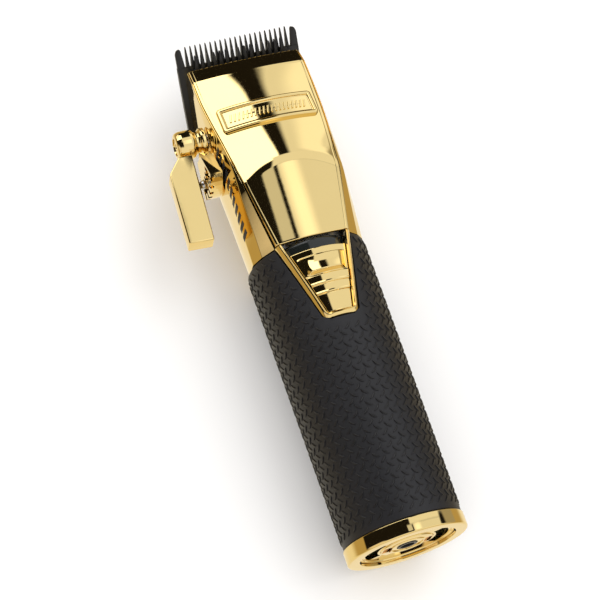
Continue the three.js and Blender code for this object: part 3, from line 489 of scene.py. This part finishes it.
def sideBars():
    middle = np.linspace(sideMarks["startY"], sideMarks["endY"], sideMarks["count"])[:, None, None]
    up = np.linspace(-0.5, 0.5, 9)[:, None] * sideMarks["high"]
    side = np.array([-0.5, 0.5, 0.5, -0.5]) * sideMarks["width"]
    y = middle + up * sideMarks["lean"] + side
    z = np.broadcast_to(reading("wallTop", middle) + sideMarks["centreRise"] + up, y.shape)
    proud = np.array([0.05, 0.05, -0.3, -0.3])
    x = -(wallAt(y, z) + proud)
    bars = np.stack([x, y, z], -1)
    makePiece("side_marks", bars, manyTubes(bars), finish["black_plastic"], "body", slotName="black_plastic")


# Half-width of the housing at height z, read from its outline, whose heights only fall.
def wallAt(y, z):
    outline = housingSide(y.reshape(-1), 0)[:, 3:]
    height = z.reshape(-1, 1)
    after = np.sum(outline[..., 1] >= height, 1)[:, None, None]
    x0, z0 = np.take_along_axis(outline, after - 1, 1)[:, 0].T
    x1, z1 = np.take_along_axis(outline, after, 1)[:, 0].T
    return (x0 + (x1 - x0) * (z0 - height[:, 0]) / (z0 - z1)).reshape(y.shape)


namePlate()
sideBars()
print("head: plate and marks")

handle = dict(start=4.9, end=99.0, lowR=18.9, highR=19.8, innerR=16.4)
switchPlan = dict(topY=99.1, tipY=71.0, topHalf=12.45, tipHalf=5.6, floorR=17.4)
slant = (switchPlan["topHalf"] - switchPlan["tipHalf"]) / (switchPlan["topY"] - switchPlan["tipY"])


def halfAt(y):
    return switchPlan["tipHalf"] + slant * (y - switchPlan["tipY"])


def handleR(y):
    share = (y - handle["start"]) / (handle["end"] - handle["start"])
    return handle["lowR"] + (handle["highR"] - handle["lowR"]) * share


# A tapered tube with rounded ends, cut away under the switch's frame with a small clearance.
def sleeve():
    corners = [(handle["innerR"], handle["start"]), (handle["lowR"], handle["start"]),
               (handle["highR"], handle["end"]), (handle["innerR"], handle["end"])]
    profile = eased(corners, [0.1, 0.5, 0.7, 0.1], 6)
    piece = turnedPiece("sleeve_body", profile, finish["sleeve_rubber"], "body", sides=192,
                        replaced=("handle_sleeve",), slotName="sleeve_rubber")
    gap, cut = 0.3, 1.6
    low, high = switchPlan["tipY"] - gap, 101
    outline = [(halfAt(high) + gap, high), (-halfAt(high) - gap, high), (-halfAt(low + cut) - gap, low + cut),
               (cut - halfAt(low), low), (halfAt(low) - cut, low), (halfAt(low + cut) + gap, low + cut)]
    return carve(piece, [cuttingTool(outline, 8, 40)])


# Short bowed ridges in two crossing sets. A ridge swells from its pointed ends to the middle.
tread = dict(rows=23, around=36, long=2.9, wide=0.62, high=0.34, bow=0.34, sink=0.15, angle=0.80, startIn=2.2,
             endsIn=3.4, clear=1.5, clearLow=1.9)


def sleeveTread():
    rowAt, sideAt = np.meshgrid(np.arange(tread["rows"] * 2), np.arange(tread["around"]), indexing="ij")
    other = rowAt % 2
    pitch = (handle["end"] - handle["start"] - tread["endsIn"]) / (tread["rows"] * 2)
    middleY = (handle["start"] + tread["startIn"] + (rowAt + 0.5) * pitch).ravel()
    middleA = ((sideAt + 0.5 * other) / tread["around"] * 2 * np.pi).ravel()
    lean = np.where(other == 0, 1.0, -1.0).ravel()
    clear = np.abs(np.sin(middleA)) * handleR(middleY) > halfAt(middleY) + tread["clear"]
    clear |= (np.cos(middleA) < 0) | (middleY < switchPlan["tipY"] - tread["clearLow"])
    middleY, middleA, lean = middleY[clear], middleA[clear], lean[clear]
    t = np.linspace(-1, 1, 7)
    swell = np.sqrt(np.maximum(1 - t * t, 0)) * 0.94 + 0.06
    ring = np.linspace(0, 2 * np.pi, 6, endpoint=False) + np.pi / 6
    along = t[:, None] * tread["long"] / 2
    side = swell[:, None] * np.cos(ring) * tread["wide"] / 2 + tread["bow"] * (1 - t[:, None] ** 2)
    up = swell[:, None] * np.sin(ring) * (tread["high"] + tread["sink"]) / 2 + (tread["high"] - tread["sink"]) / 2
    cos, sin = np.cos(tread["angle"]), np.sin(tread["angle"])
    dy = along * cos - side * sin
    da = (along * sin + side * cos) * lean[:, None, None]
    y = middleY[:, None, None] + dy
    radius = handleR(y) + up
    angle = middleA[:, None, None] + da / handleR(y)
    ridges = np.stack([radius * np.sin(angle), y, radius * np.cos(angle)], -1)
    print("tread ridges:", len(ridges))
    # The ridges take the darker tread finish, which is painted shade on the sleeve's rubber.
    return makePiece("sleeve_tread", ridges, manyTubes(ridges), finish["tread_rubber_painted_shade"], "body", crease=70,
                     slotName="sleeve_rubber")


endCap = dict(outerR=19.3, innerR=15.4, height=4.6, stopR=14.8, stopLow=2.9, stopHigh=3.9, plateR=15.1,
              plateY=0.9, plateThick=1.7, jackR=3.4, ventR=(9.4, 13.4), ventTurn=0.62, windowX=6.6,
              windowHalf=(1.3, 2.4))


def capRing():
    inner, outer, height, stopR = endCap["innerR"], endCap["outerR"], endCap["height"], endCap["stopR"]
    corners = [(inner, 0), (outer, 0), (outer, height), (inner, height), (inner, endCap["stopHigh"]),
               (stopR, endCap["stopHigh"]), (stopR, endCap["stopLow"]), (inner, endCap["stopLow"])]
    profile = eased(corners, [0.25, 0.75, 0.2, 0.1, 0.05, 0.05, 0.05, 0.05], 7)
    turnedPiece("cap_ring", profile, finish["gold_plate"], "body", sides=220, replaced=("end_ring",),
                slotName="gold_plate")


# The sunk plate: a disc with two raised rings, cut by curved vents, contact windows and the jack's hole.
def capPlate():
    face, back = endCap["plateY"], endCap["plateY"] + endCap["plateThick"]
    corners = [(0, face), (5.0, face), (5.15, face - 0.3), (5.9, face - 0.3), (6.05, face), (8.4, face),
               (8.55, face + 0.35), (14.2, face + 0.35), (14.35, face), (endCap["plateR"], face),
               (endCap["plateR"], back), (0, back)]
    profile = eased(corners[1:-1], 0.07, 4)
    profile = np.concatenate([[corners[0]], profile, [corners[-1]]])
    piece = turnedPiece("cap_plate", profile, finish["gold_plate"], "body", sides=160, replaced=("end_plate",),
                        slotName="gold_plate")
    tools = [cuttingTool(circleOutline(endCap["jackR"]), 0, 5, alongY)]
    turn = np.linspace(-endCap["ventTurn"], endCap["ventTurn"], 20)
    inner, outer = endCap["ventR"]
    radius, bend = np.repeat([outer, inner], len(turn)), np.concatenate([turn, turn[::-1]])
    halfX, halfZ = endCap["windowHalf"]
    for side in (0, np.pi):
        arc = np.stack([radius * np.cos(bend + side), radius * np.sin(bend + side)], -1)
        tools.append(cuttingTool(arc, 0, 5, alongY))
        x = endCap["windowX"] * np.cos(side)
        tools.append(cuttingTool(boxOutline(x - halfX, x + halfX, -halfZ, halfZ), 0, 5, alongY))
    return carve(piece, tools)


sleeve()
sleeveTread()
capRing()
capPlate()
print("handle: sleeve, tread and cap")

switchLook = dict(border=1.9, crestLow=20.3, crestRise=0.037, cornerReach=2.1, footR=16.9)


def crestAt(y):
    return switchLook["crestLow"] + switchLook["crestRise"] * (y - switchPlan["tipY"])


# The frame's path down one leg, round the two lower corners and up the other, moved in by `inset`.
def framePath(inset):
    low, top = switchPlan["tipY"] + inset, switchPlan["topY"]
    halfLow, halfTop = halfAt(low) - inset, halfAt(top) - inset
    reach = switchLook["cornerReach"] - 0.5 * inset
    corners = np.array([(halfTop, top), (halfLow, low), (-halfLow, low), (-halfTop, top)])
    bends = eased(corners, [0.01, reach, reach, 0.01], 12).reshape(4, 12, 2)[1:3]
    share = np.linspace(0, 1, 46)
    legDown = corners[0] + (bends[0, 0] - corners[0]) * share[:-1, None]
    legUp = bends[1, -1] + (corners[3] - bends[1, -1]) * share[1:, None]
    return np.concatenate([legDown, bends[0], bends[1], legUp])


# The frame's section: an outer bevel up to a narrow crest, a fine groove, an inner slope and a straight wall.
def switchFrame():
    inset = [0.0, 0.0, 0.12, 0.7, 0.86, 1.02, 1.12, 1.2, 1.3, 1.42, 1.52, 1.86, 1.9, 1.9]
    lift = np.array([0, -1.05, -0.85, -0.14, -0.02, 0.0, -0.05, -0.3, -0.34, -0.22, -0.26, -0.95, -1.1, 0])
    paths = np.stack([framePath(step) for step in inset], 1)
    y = paths[..., 1]
    radius = crestAt(y) + lift
    radius[:, [0, -1]] = switchLook["footR"]
    rings = np.stack([paths[..., 0], y, np.sqrt(radius**2 - paths[..., 0] ** 2)], -1)
    makePiece("switch_surround", rings, ringFaces(*rings.shape[:2]), finish["gold_plate"], "body",
              replaced=("switch_frame",), slotName="gold_plate", crease=38)


def smoothStep(low, high, value):
    t = np.clip((value - low) / (high - low), 0, 1)
    return t * t * (3 - 2 * t)


# A curved block on the barrel: across each y, `radiusAt(share, y)` gives its top, and `bottomR` its underside.
def barrelBlock(name, y, halfWidth, radiusAt, bottomR, material, body, edge=0.3, **more):
    share = np.sin(np.linspace(-np.pi / 2, np.pi / 2, 81))
    x = halfWidth[:, None] * share
    radius = radiusAt(share, y[:, None])
    edgeIn = np.minimum(halfWidth[:, None] - np.abs(x), np.minimum(y - y[0], y[-1] - y)[:, None])
    radius = radius - edge * (1 - np.sqrt(np.clip(1 - (np.clip(edge - edgeIn, 0, edge) / edge) ** 2, 0, 1)))
    under = halfWidth[:, None] * np.linspace(1, -1, 21)
    top = np.stack([x, np.sqrt(radius**2 - x**2)], -1)
    bottom = np.stack([under, np.sqrt(bottomR**2 - under**2)], -1)
    rings = atStations(y, np.concatenate([top, bottom], 1))
    return makePiece(name, rings, ringFaces(*rings.shape[:2]), material, body, **more)


def switchFloor():
    y = np.linspace(73.2, 99.0, 30)
    clear = switchLook["border"] + 0.3

    def floorR(share, along):
        return switchPlan["floorR"] + 0.2 * smoothStep(95.0, 98.6, along)

    piece = barrelBlock("switch_floor_plate", y, halfAt(y) - clear, floorR, 16.5, finish["black_gloss"], "body",
                        edge=0.15, replaced=("switch_floor",), slotName="black_gloss", crease=40)
    return carve(piece, [cuttingTool(boxOutline(-1.9, 1.9, 83.4, 92.6), 8, 30)])


# The slider steps up towards the head: a flat plate, two low steps, the thumb hump and a top band. The hump is
# scooped along its middle and falls off to a flat ledge on each side.
def sliderR(share, y):
    base = 19.25 - 0.35 * smoothStep(85.4, 86.1, y)
    for stepY in (79.2, 82.3):  # a low step with a fine bead along its edge
        base = base + 0.45 * smoothStep(stepY, stepY + 0.4, y) + 0.12 * np.exp(-(((y - stepY - 0.55) / 0.28) ** 2))
    front = smoothStep(85.7, 86.9, y)
    rear = 1 - smoothStep(91.9, 92.7, y)
    rise = 1.95 - 0.75 * np.clip((y - 86.9) / 5.6, 0, 1)
    scoop = 0.32 * np.sin(np.pi * np.clip((y - 86.6) / 5.6, 0, 1)) * (1 - share**2)
    sideways = 1 - smoothStep(0.60, 0.93, np.abs(share))
    return base + front * rear * (rise - scoop) * sideways


def switchSlider():
    y = np.concatenate([[72.95, 73.0, 73.1], np.linspace(73.3, 78.6, 12), np.linspace(78.9, 80.3, 16),
                        np.linspace(80.6, 82.0, 5), np.linspace(82.15, 83.4, 14), np.linspace(83.8, 85.2, 5),
                        np.linspace(85.35, 87.3, 26), np.linspace(87.6, 91.6, 18), np.linspace(91.75, 93.0, 16),
                        np.linspace(93.3, 94.6, 6), [94.7, 94.8, 94.85]])
    clear = switchLook["border"] + 0.28
    barrelBlock("switch_thumb_slider", y, halfAt(y) - clear, sliderR, 17.75, finish["gold_plate"], "slider",
                edge=0.22, replaced=("switch_slider",), slotName="gold_plate", crease=60)
    stem = plateRings(boxOutline(-1.5, 1.5, 84, 88.6), 12, 18.4, 0.2)
    makePiece("switch_slider_stem", stem, ringFaces(*stem.shape[:2]), finish["black_plastic"], "slider",
              slotName="black_plastic")


switchFrame()
switchFloor()
switchSlider()
print("switch: frame, floor and slider")

lever = dict(y=146.5, z=6.5, foot=-20.4, thumbHalf=3, thumbEdge=0.38, boreR=1.9, ballY=131.1, ballX=-25.6,
             ballR=1.5)


# The turned hub with its sunk screw, the flat thumb bar beside it, and the ball in the bar's bore.
def leverPieces():
    centre = (lever["foot"], lever["y"], lever["z"])
    corners = [(1.6, 0), (4.6, 0), (4.6, 1.5), (3.7, 2.3), (3.7, 3.5), (4.7, 4.3), (4.9, 5.0), (4.9, 8.9),
               (4.1, 10.0), (2.9, 10.2), (2.7, 8.3), (1.6, 8.3)]
    reach = [0.1, 0.35, 0.4, 0.4, 0.4, 0.3, 0.3, 0.9, 0.5, 0.12, 0.1, 0.1]
    hub = eased([(r, -along) for r, along in corners], reach, 6)
    turnedPiece("lever_hub_turned", hub, finish["gold_plate"], "lever", "x", centre, 96, replaced=("lever_hub",),
                slotName="gold_plate")
    corners = [(1.1, -8.6), (2.4, -8.6), (2.4, -9.8), (1.1, -9.8), (1.0, -9.2)]
    head = eased(corners, [0.05, 0.05, 0.3, 0.12, 0.05], 5)
    head = np.concatenate([[(0, -8.6)], head, [(0, -9.2)]])
    turnedPiece("lever_screw_head", head, finish["gold_plate"], "lever", "x", centre, 72, replaced=("lever_screw",),
                slotName="gold_plate")
    outline = eased([(-26.6, 141.3), (-28.4, 110.2), (-36.6, 110.7), (-35.7, 136), (-31.2, 141.3)],
                    [0.3, 0.5, 0.5, 0.8, 0.3], 6)
    rings = plateRings(outline, lever["z"] - lever["thumbHalf"], lever["z"] + lever["thumbHalf"],
                       lever["thumbEdge"], 6)
    bar = makePiece("lever_thumb_bar", rings, ringFaces(*rings.shape[:2]), finish["gold_plate"], "lever",
                    replaced=("lever_paddle",), slotName="gold_plate")
    bore = circleOutline(lever["boreR"], (lever["ballY"], lever["z"]))
    carve(bar, [cuttingTool(bore, -33.4, -20, alongX)])
    turn = np.linspace(0, np.pi, 25)
    ball = np.stack([lever["ballR"] * np.sin(turn), -lever["ballR"] * np.cos(turn)], -1)
    ballAt = (lever["ballX"], lever["ballY"], lever["z"])
    turnedPiece("detent_ball_ground", ball, finish["steel"], "lever", "x", ballAt, 48, replaced=("detent_ball",),
                slotName="steel")


leverPieces()
print("lever")

# The blades, in the blade's own frame: y = 0 at the tooth tips, z = 0 on the fixed blade's top.
combLook = dict(teeth=21, pitch=1.757, rootY=-6.6, tipY=0.3, rootHalf=0.62, tipHalf=0.16, half=21.35, heelY=-30,
                thick=2.4, grind=1.4, grindY=-9, endIn=19.25, endRootIn=18.55, screwX=12.5, screwY=-27, screwR=1.7)
cutterLook = dict(teeth=15, pitch=2.15, rootY=-7.6, tipY=-3.0, rootHalf=0.78, tipHalf=0.24, half=16.4, heelY=-19,
                  low=0.25, high=1.55)


# Teeth as tapering bars of an octagon section. `underAt` gives the underside, so a tooth thins to its tip.
def toothTubes(middle, rootY, tipY, rootHalf, tipHalf, high, underAt):
    inPlate, roundFrom = 0.8, 0.93
    t = np.concatenate([np.linspace(0, roundFrom, 9), [0.965, 0.99, 1.0]])
    width = (rootHalf + (tipHalf - rootHalf) * t) * np.sqrt(1 - np.clip((t - roundFrom) / 0.075, 0, 1) ** 2)
    y = rootY - inPlate + (tipY - rootY + inPlate) * t
    under = underAt(y)
    droop = 0.25 * np.clip((t - 0.8) / 0.2, 0, 1) ** 2
    cutX = np.array([1, 1, 0.7, -0.7, -1, -1, -0.7, 0.7])
    cutZ = np.array([0.12, 0.88, 1, 1, 0.88, 0.12, 0, 0])
    x = middle[:, None, None] + width[:, None] * cutX
    z = under[:, None] + (high - droop - under)[:, None] * cutZ
    return np.stack([x, np.broadcast_to(y[:, None], x.shape), np.broadcast_to(z, x.shape)], -1)


# The skin side is ground hollow, so the comb thins towards its tips.
def underside(y):
    return -combLook["thick"] + combLook["grind"] * np.clip((y - combLook["grindY"]) / 9.9, 0, 1)


# A flat plate whose edges are rounded over, laid in the blade's frame.
def bladePlate(name, outline, low, high, edge, material, body, **more):
    rings = inBladeFrame(plateRings(outline, low, high, edge, 4))
    return makePiece(name, rings, ringFaces(*rings.shape[:2]), material, body, **more)


def fixedBlade():
    c = combLook
    front = c["rootY"] + 0.2
    outline = eased([(-c["half"], c["heelY"]), (c["half"], c["heelY"]), (c["half"], front), (-c["half"], front)],
                    [1.2, 1.2, 0.02, 0.02], 5)
    piece = bladePlate("comb_blade_plate", outline, -c["thick"], 0, 0.18, finish["black_steel"], "body",
                       replaced=("fixed_blade",), slotName="black_steel")
    tools = [cuttingTool(circleOutline(c["screwR"], (x, c["screwY"])), -5, 2, inBladeFrame)
             for x in (-c["screwX"], c["screwX"])]
    hollow = [(-12, -c["thick"]), (2, -c["thick"]), (2, c["grind"] - c["thick"])]
    tools.append(cuttingTool(hollow, -30, 30, lambda points: inBladeFrame(alongX(points))))
    carve(piece, tools)
    middle = (np.arange(c["teeth"]) - (c["teeth"] - 1) / 2) * c["pitch"]
    teeth = toothTubes(middle, c["rootY"], c["tipY"], c["rootHalf"], c["tipHalf"], 0, underside)
    makePiece("comb_blade_teeth", inBladeFrame(teeth), manyTubes(teeth), finish["black_steel"], "body",
              slotName="black_steel", crease=25)
    for side, label in ((-1, "left"), (1, "right")):
        corners = [(c["half"], front - 1), (c["half"], -1.7), (c["half"] - 0.55, -0.45), (c["endIn"] + 0.45, -0.1),
                   (c["endIn"] + 0.05, -0.7), (c["endRootIn"], front - 1)]
        tooth = eased([(side * x, y) for x, y in corners], [0.02, 0.5, 0.5, 0.3, 0.3, 0.02], 5)
        bladePlate("comb_end_tooth_" + label, tooth, -1.3, -0.02, 0.22, finish["black_steel"], "body",
                   slotName="black_steel")


def cutterBlade():
    c = cutterLook
    front = c["rootY"] + 0.1
    outline = [(-c["half"], c["heelY"]), (c["half"], c["heelY"]), (c["half"], front), (-c["half"], front)]
    bladePlate("cutter_plate", outline, c["low"], c["high"], 0.12, finish["black_steel"], "cutter",
               replaced=("cutter_blade",), slotName="black_steel")
    middle = (np.arange(c["teeth"]) - (c["teeth"] - 1) / 2) * c["pitch"]
    teeth = toothTubes(middle, c["rootY"], c["tipY"], c["rootHalf"], c["tipHalf"], c["high"],
                       lambda y: np.full_like(y, c["low"]))
    makePiece("cutter_teeth", inBladeFrame(teeth), manyTubes(teeth), finish["black_steel"], "cutter",
              slotName="black_steel", crease=25)


fixedBlade()
cutterBlade()
print("blades")

stageLook = dict(reach=6.0, tone=0.90, sun=0.62, sunWidth=42, sunTint=(0.97, 0.99, 1.0),
                 sunFrom=(0.62, 0.22, 0.9), dome=(1.20, 1.175, 1.15))


# A pale floor that casts no reflection of its own, under one broad soft sun.
def floorAndLight():
    reach = stageLook["reach"]
    mesh = bpy.data.meshes.new("floor")
    corners = [(-reach, -reach, 0), (reach, -reach, 0), (reach, reach, 0), (-reach, reach, 0)]
    mesh.from_pydata(corners, [], [(0, 1, 2, 3)])
    floor = bpy.data.objects.new("floor", mesh)
    scene.collection.objects.link(floor)
    paint = bpy.data.materials.new("floor_paint")
    paint.use_nodes = True
    shader = paint.node_tree.nodes["Principled BSDF"]
    shader.inputs["Base Color"].default_value = (stageLook["tone"],) * 3 + (1,)
    shader.inputs["Roughness"].default_value = 1
    shader.inputs["Specular IOR Level"].default_value = 0
    mesh.materials.append(paint)
    floor.visible_glossy = False
    sun = bpy.data.lights.new("key", "SUN")
    sun.energy, sun.angle, sun.color = stageLook["sun"], np.radians(stageLook["sunWidth"]), stageLook["sunTint"]
    key = bpy.data.objects.new("key", sun)
    key.rotation_euler = Vector(stageLook["sunFrom"]).to_track_quat("Z", "Y").to_euler()
    key.visible_glossy = False
    scene.collection.objects.link(key)


# The studio as reflections see it: a dark room with panels, each a soft-edged block of directions. The floor
# and the matte pieces are lit by an even pale dome instead, so their shading stays soft.
panels = {
    "topLeft": dict(x=(-0.80, 0.13), y=(0.47, 1.2), z=(0.40, 1.2), soft=0.022, tone=(2.3, 2.3, 2.3)),
    "frontGlow": dict(x=(-0.70, -0.12), y=(0.60, 1.2), z=(0.10, 0.50), soft=0.10, tone=(1.5, 1.45, 1.4)),
    "topRight": dict(x=(0.29, 1.2), y=(0.35, 0.90), z=(0.32, 1.2), soft=0.035, tone=(0.94, 0.94, 0.94)),
    "topRightGlow": dict(x=(0.44, 1.2), y=(0.30, 0.80), z=(0.30, 0.60), soft=0.08, tone=(1.25, 1.25, 1.25)),
    "overhead": dict(x=(0.105, 0.85), y=(-0.70, 0.20), z=(0.34, 1.2), soft=0.016, tone=(0.92, 0.92, 0.92)),
    "overheadGlow": dict(x=(0.15, 0.32), y=(-0.30, 0.20), z=(0.80, 1.2), soft=0.06, tone=(1.45, 1.45, 1.45)),
    "overheadFront": dict(x=(0.03, 0.85), y=(0.20, 0.56), z=(0.34, 1.2), soft=0.022, tone=(0.97, 0.97, 0.97)),
    "leftBlob": dict(x=(-0.08, 0.06), y=(0.02, 0.20), z=(0.5, 1.2), soft=0.014, tone=(0.72, 0.72, 0.72)),
    "right": dict(x=(0.75, 1.2), y=(-0.6, 0.7), z=(-0.1, 0.34), soft=0.05, tone=(0.42, 0.38, 0.30)),
    "back": dict(x=(-0.9, 0.9), y=(-1.2, -0.55), z=(-0.2, 0.8), soft=0.12, tone=(1.0, 0.97, 0.94)),
    "left": dict(x=(-1.2, -0.55), y=(-0.9, 0.0), z=(0.05, 0.6), soft=0.08, tone=(0.9, 0.8, 0.7)),
}
aroundPanels = dict(room=(0.012, 0.010, 0.008), horizon=(0.54, 0.40, 0.17), below=(0.98, 0.90, 0.72))


def studio():
    world = bpy.data.worlds.new("studio")
    scene.world = world
    world.use_nodes = True
    nodes, links = world.node_tree.nodes, world.node_tree.links
    background = nodes["Background"]
    place = nodes.new("ShaderNodeTexCoord")
    axes = nodes.new("ShaderNodeSeparateXYZ")
    links.new(place.outputs["Generated"], axes.inputs[0])

    def step(axis, edge, soft, rising):
        ramp = nodes.new("ShaderNodeMapRange")
        ramp.interpolation_type = "SMOOTHSTEP"
        ramp.inputs["From Min"].default_value = edge - soft
        ramp.inputs["From Max"].default_value = edge + soft
        ramp.inputs["To Min"].default_value = 0 if rising else 1
        ramp.inputs["To Max"].default_value = 1 if rising else 0
        links.new(axes.outputs[axis], ramp.inputs["Value"])
        return ramp.outputs["Result"]

    def times(a, b):
        product = nodes.new("ShaderNodeMath")
        product.operation = "MULTIPLY"
        links.new(a, product.inputs[0])
        links.new(b, product.inputs[1])
        return product.outputs[0]

    def mixed(share, under, over):
        mix = nodes.new("ShaderNodeMix")
        mix.data_type = "RGBA"
        links.new(share, mix.inputs[0])
        for socket, value in ((6, under), (7, over)):
            if isinstance(value, tuple):
                mix.inputs[socket].default_value = (*value, 1)
            else:
                links.new(value, mix.inputs[socket])
        return mix.outputs[2]

    below = mixed(step(2, -0.52, 0.14, True), aroundPanels["below"], aroundPanels["horizon"])
    seen = mixed(step(2, -0.02, 0.03, True), below, aroundPanels["room"])
    for panel in panels.values():
        share = None
        for axis, name in enumerate("xyz"):
            low, high = panel[name]
            for edge, rising in ((low, True), (high, False)):
                if abs(edge) < 1.1:  # directions end at 1, so an edge past that is no edge
                    part = step(axis, edge, panel["soft"], rising)
                    share = part if share is None else times(share, part)
        seen = mixed(share, seen, panel["tone"])
    path = nodes.new("ShaderNodeLightPath")
    links.new(mixed(path.outputs["Is Glossy Ray"], stageLook["dome"], seen), background.inputs["Color"])


# The camera looks down on the clipper from its left and from beyond its handle end, turned a little.
viewpoint = dict(look=(0, 90, 0), turn=np.radians(15.543), tilt=np.radians(20.751), roll=np.radians(-19.711),
                 distance=520, lens=96.66, aimRight=-4.725, aimUp=-4.464)


def placeCamera():
    v = viewpoint
    level = np.cos(v["tilt"])
    back = np.array([-np.sin(v["turn"]) * level, -np.sin(v["tilt"]), np.cos(v["turn"]) * level])
    up = np.array([0, 1, 0]) - back[1] * back
    up /= np.linalg.norm(up)
    right = np.cross(up, back)
    rightTurned = np.cos(v["roll"]) * right + np.sin(v["roll"]) * up
    upTurned = np.cos(v["roll"]) * up - np.sin(v["roll"]) * right
    place = np.array(v["look"]) + v["distance"] * back
    aim = np.array(v["look"]) + v["aimRight"] * rightTurned + v["aimUp"] * upTurned
    back = (place - aim) / np.linalg.norm(place - aim)
    upTurned -= (upTurned @ back) * back
    upTurned /= np.linalg.norm(upTurned)
    axes = np.stack([np.cross(upTurned, back), upTurned, back], 1)
    lens = bpy.data.cameras.new("camera")
    lens.lens, lens.sensor_width = v["lens"], 36
    lens.clip_start, lens.clip_end = 0.01, 20
    camera = bpy.data.objects.new("camera", lens)
    camera.matrix_world = Matrix.Translation(Vector(toRow(place))) @ Matrix(axes.tolist()).to_4x4()
    scene.collection.objects.link(camera)
    scene.camera = camera


floorAndLight()
studio()
placeCamera()
scene.view_settings.view_transform = "Standard"
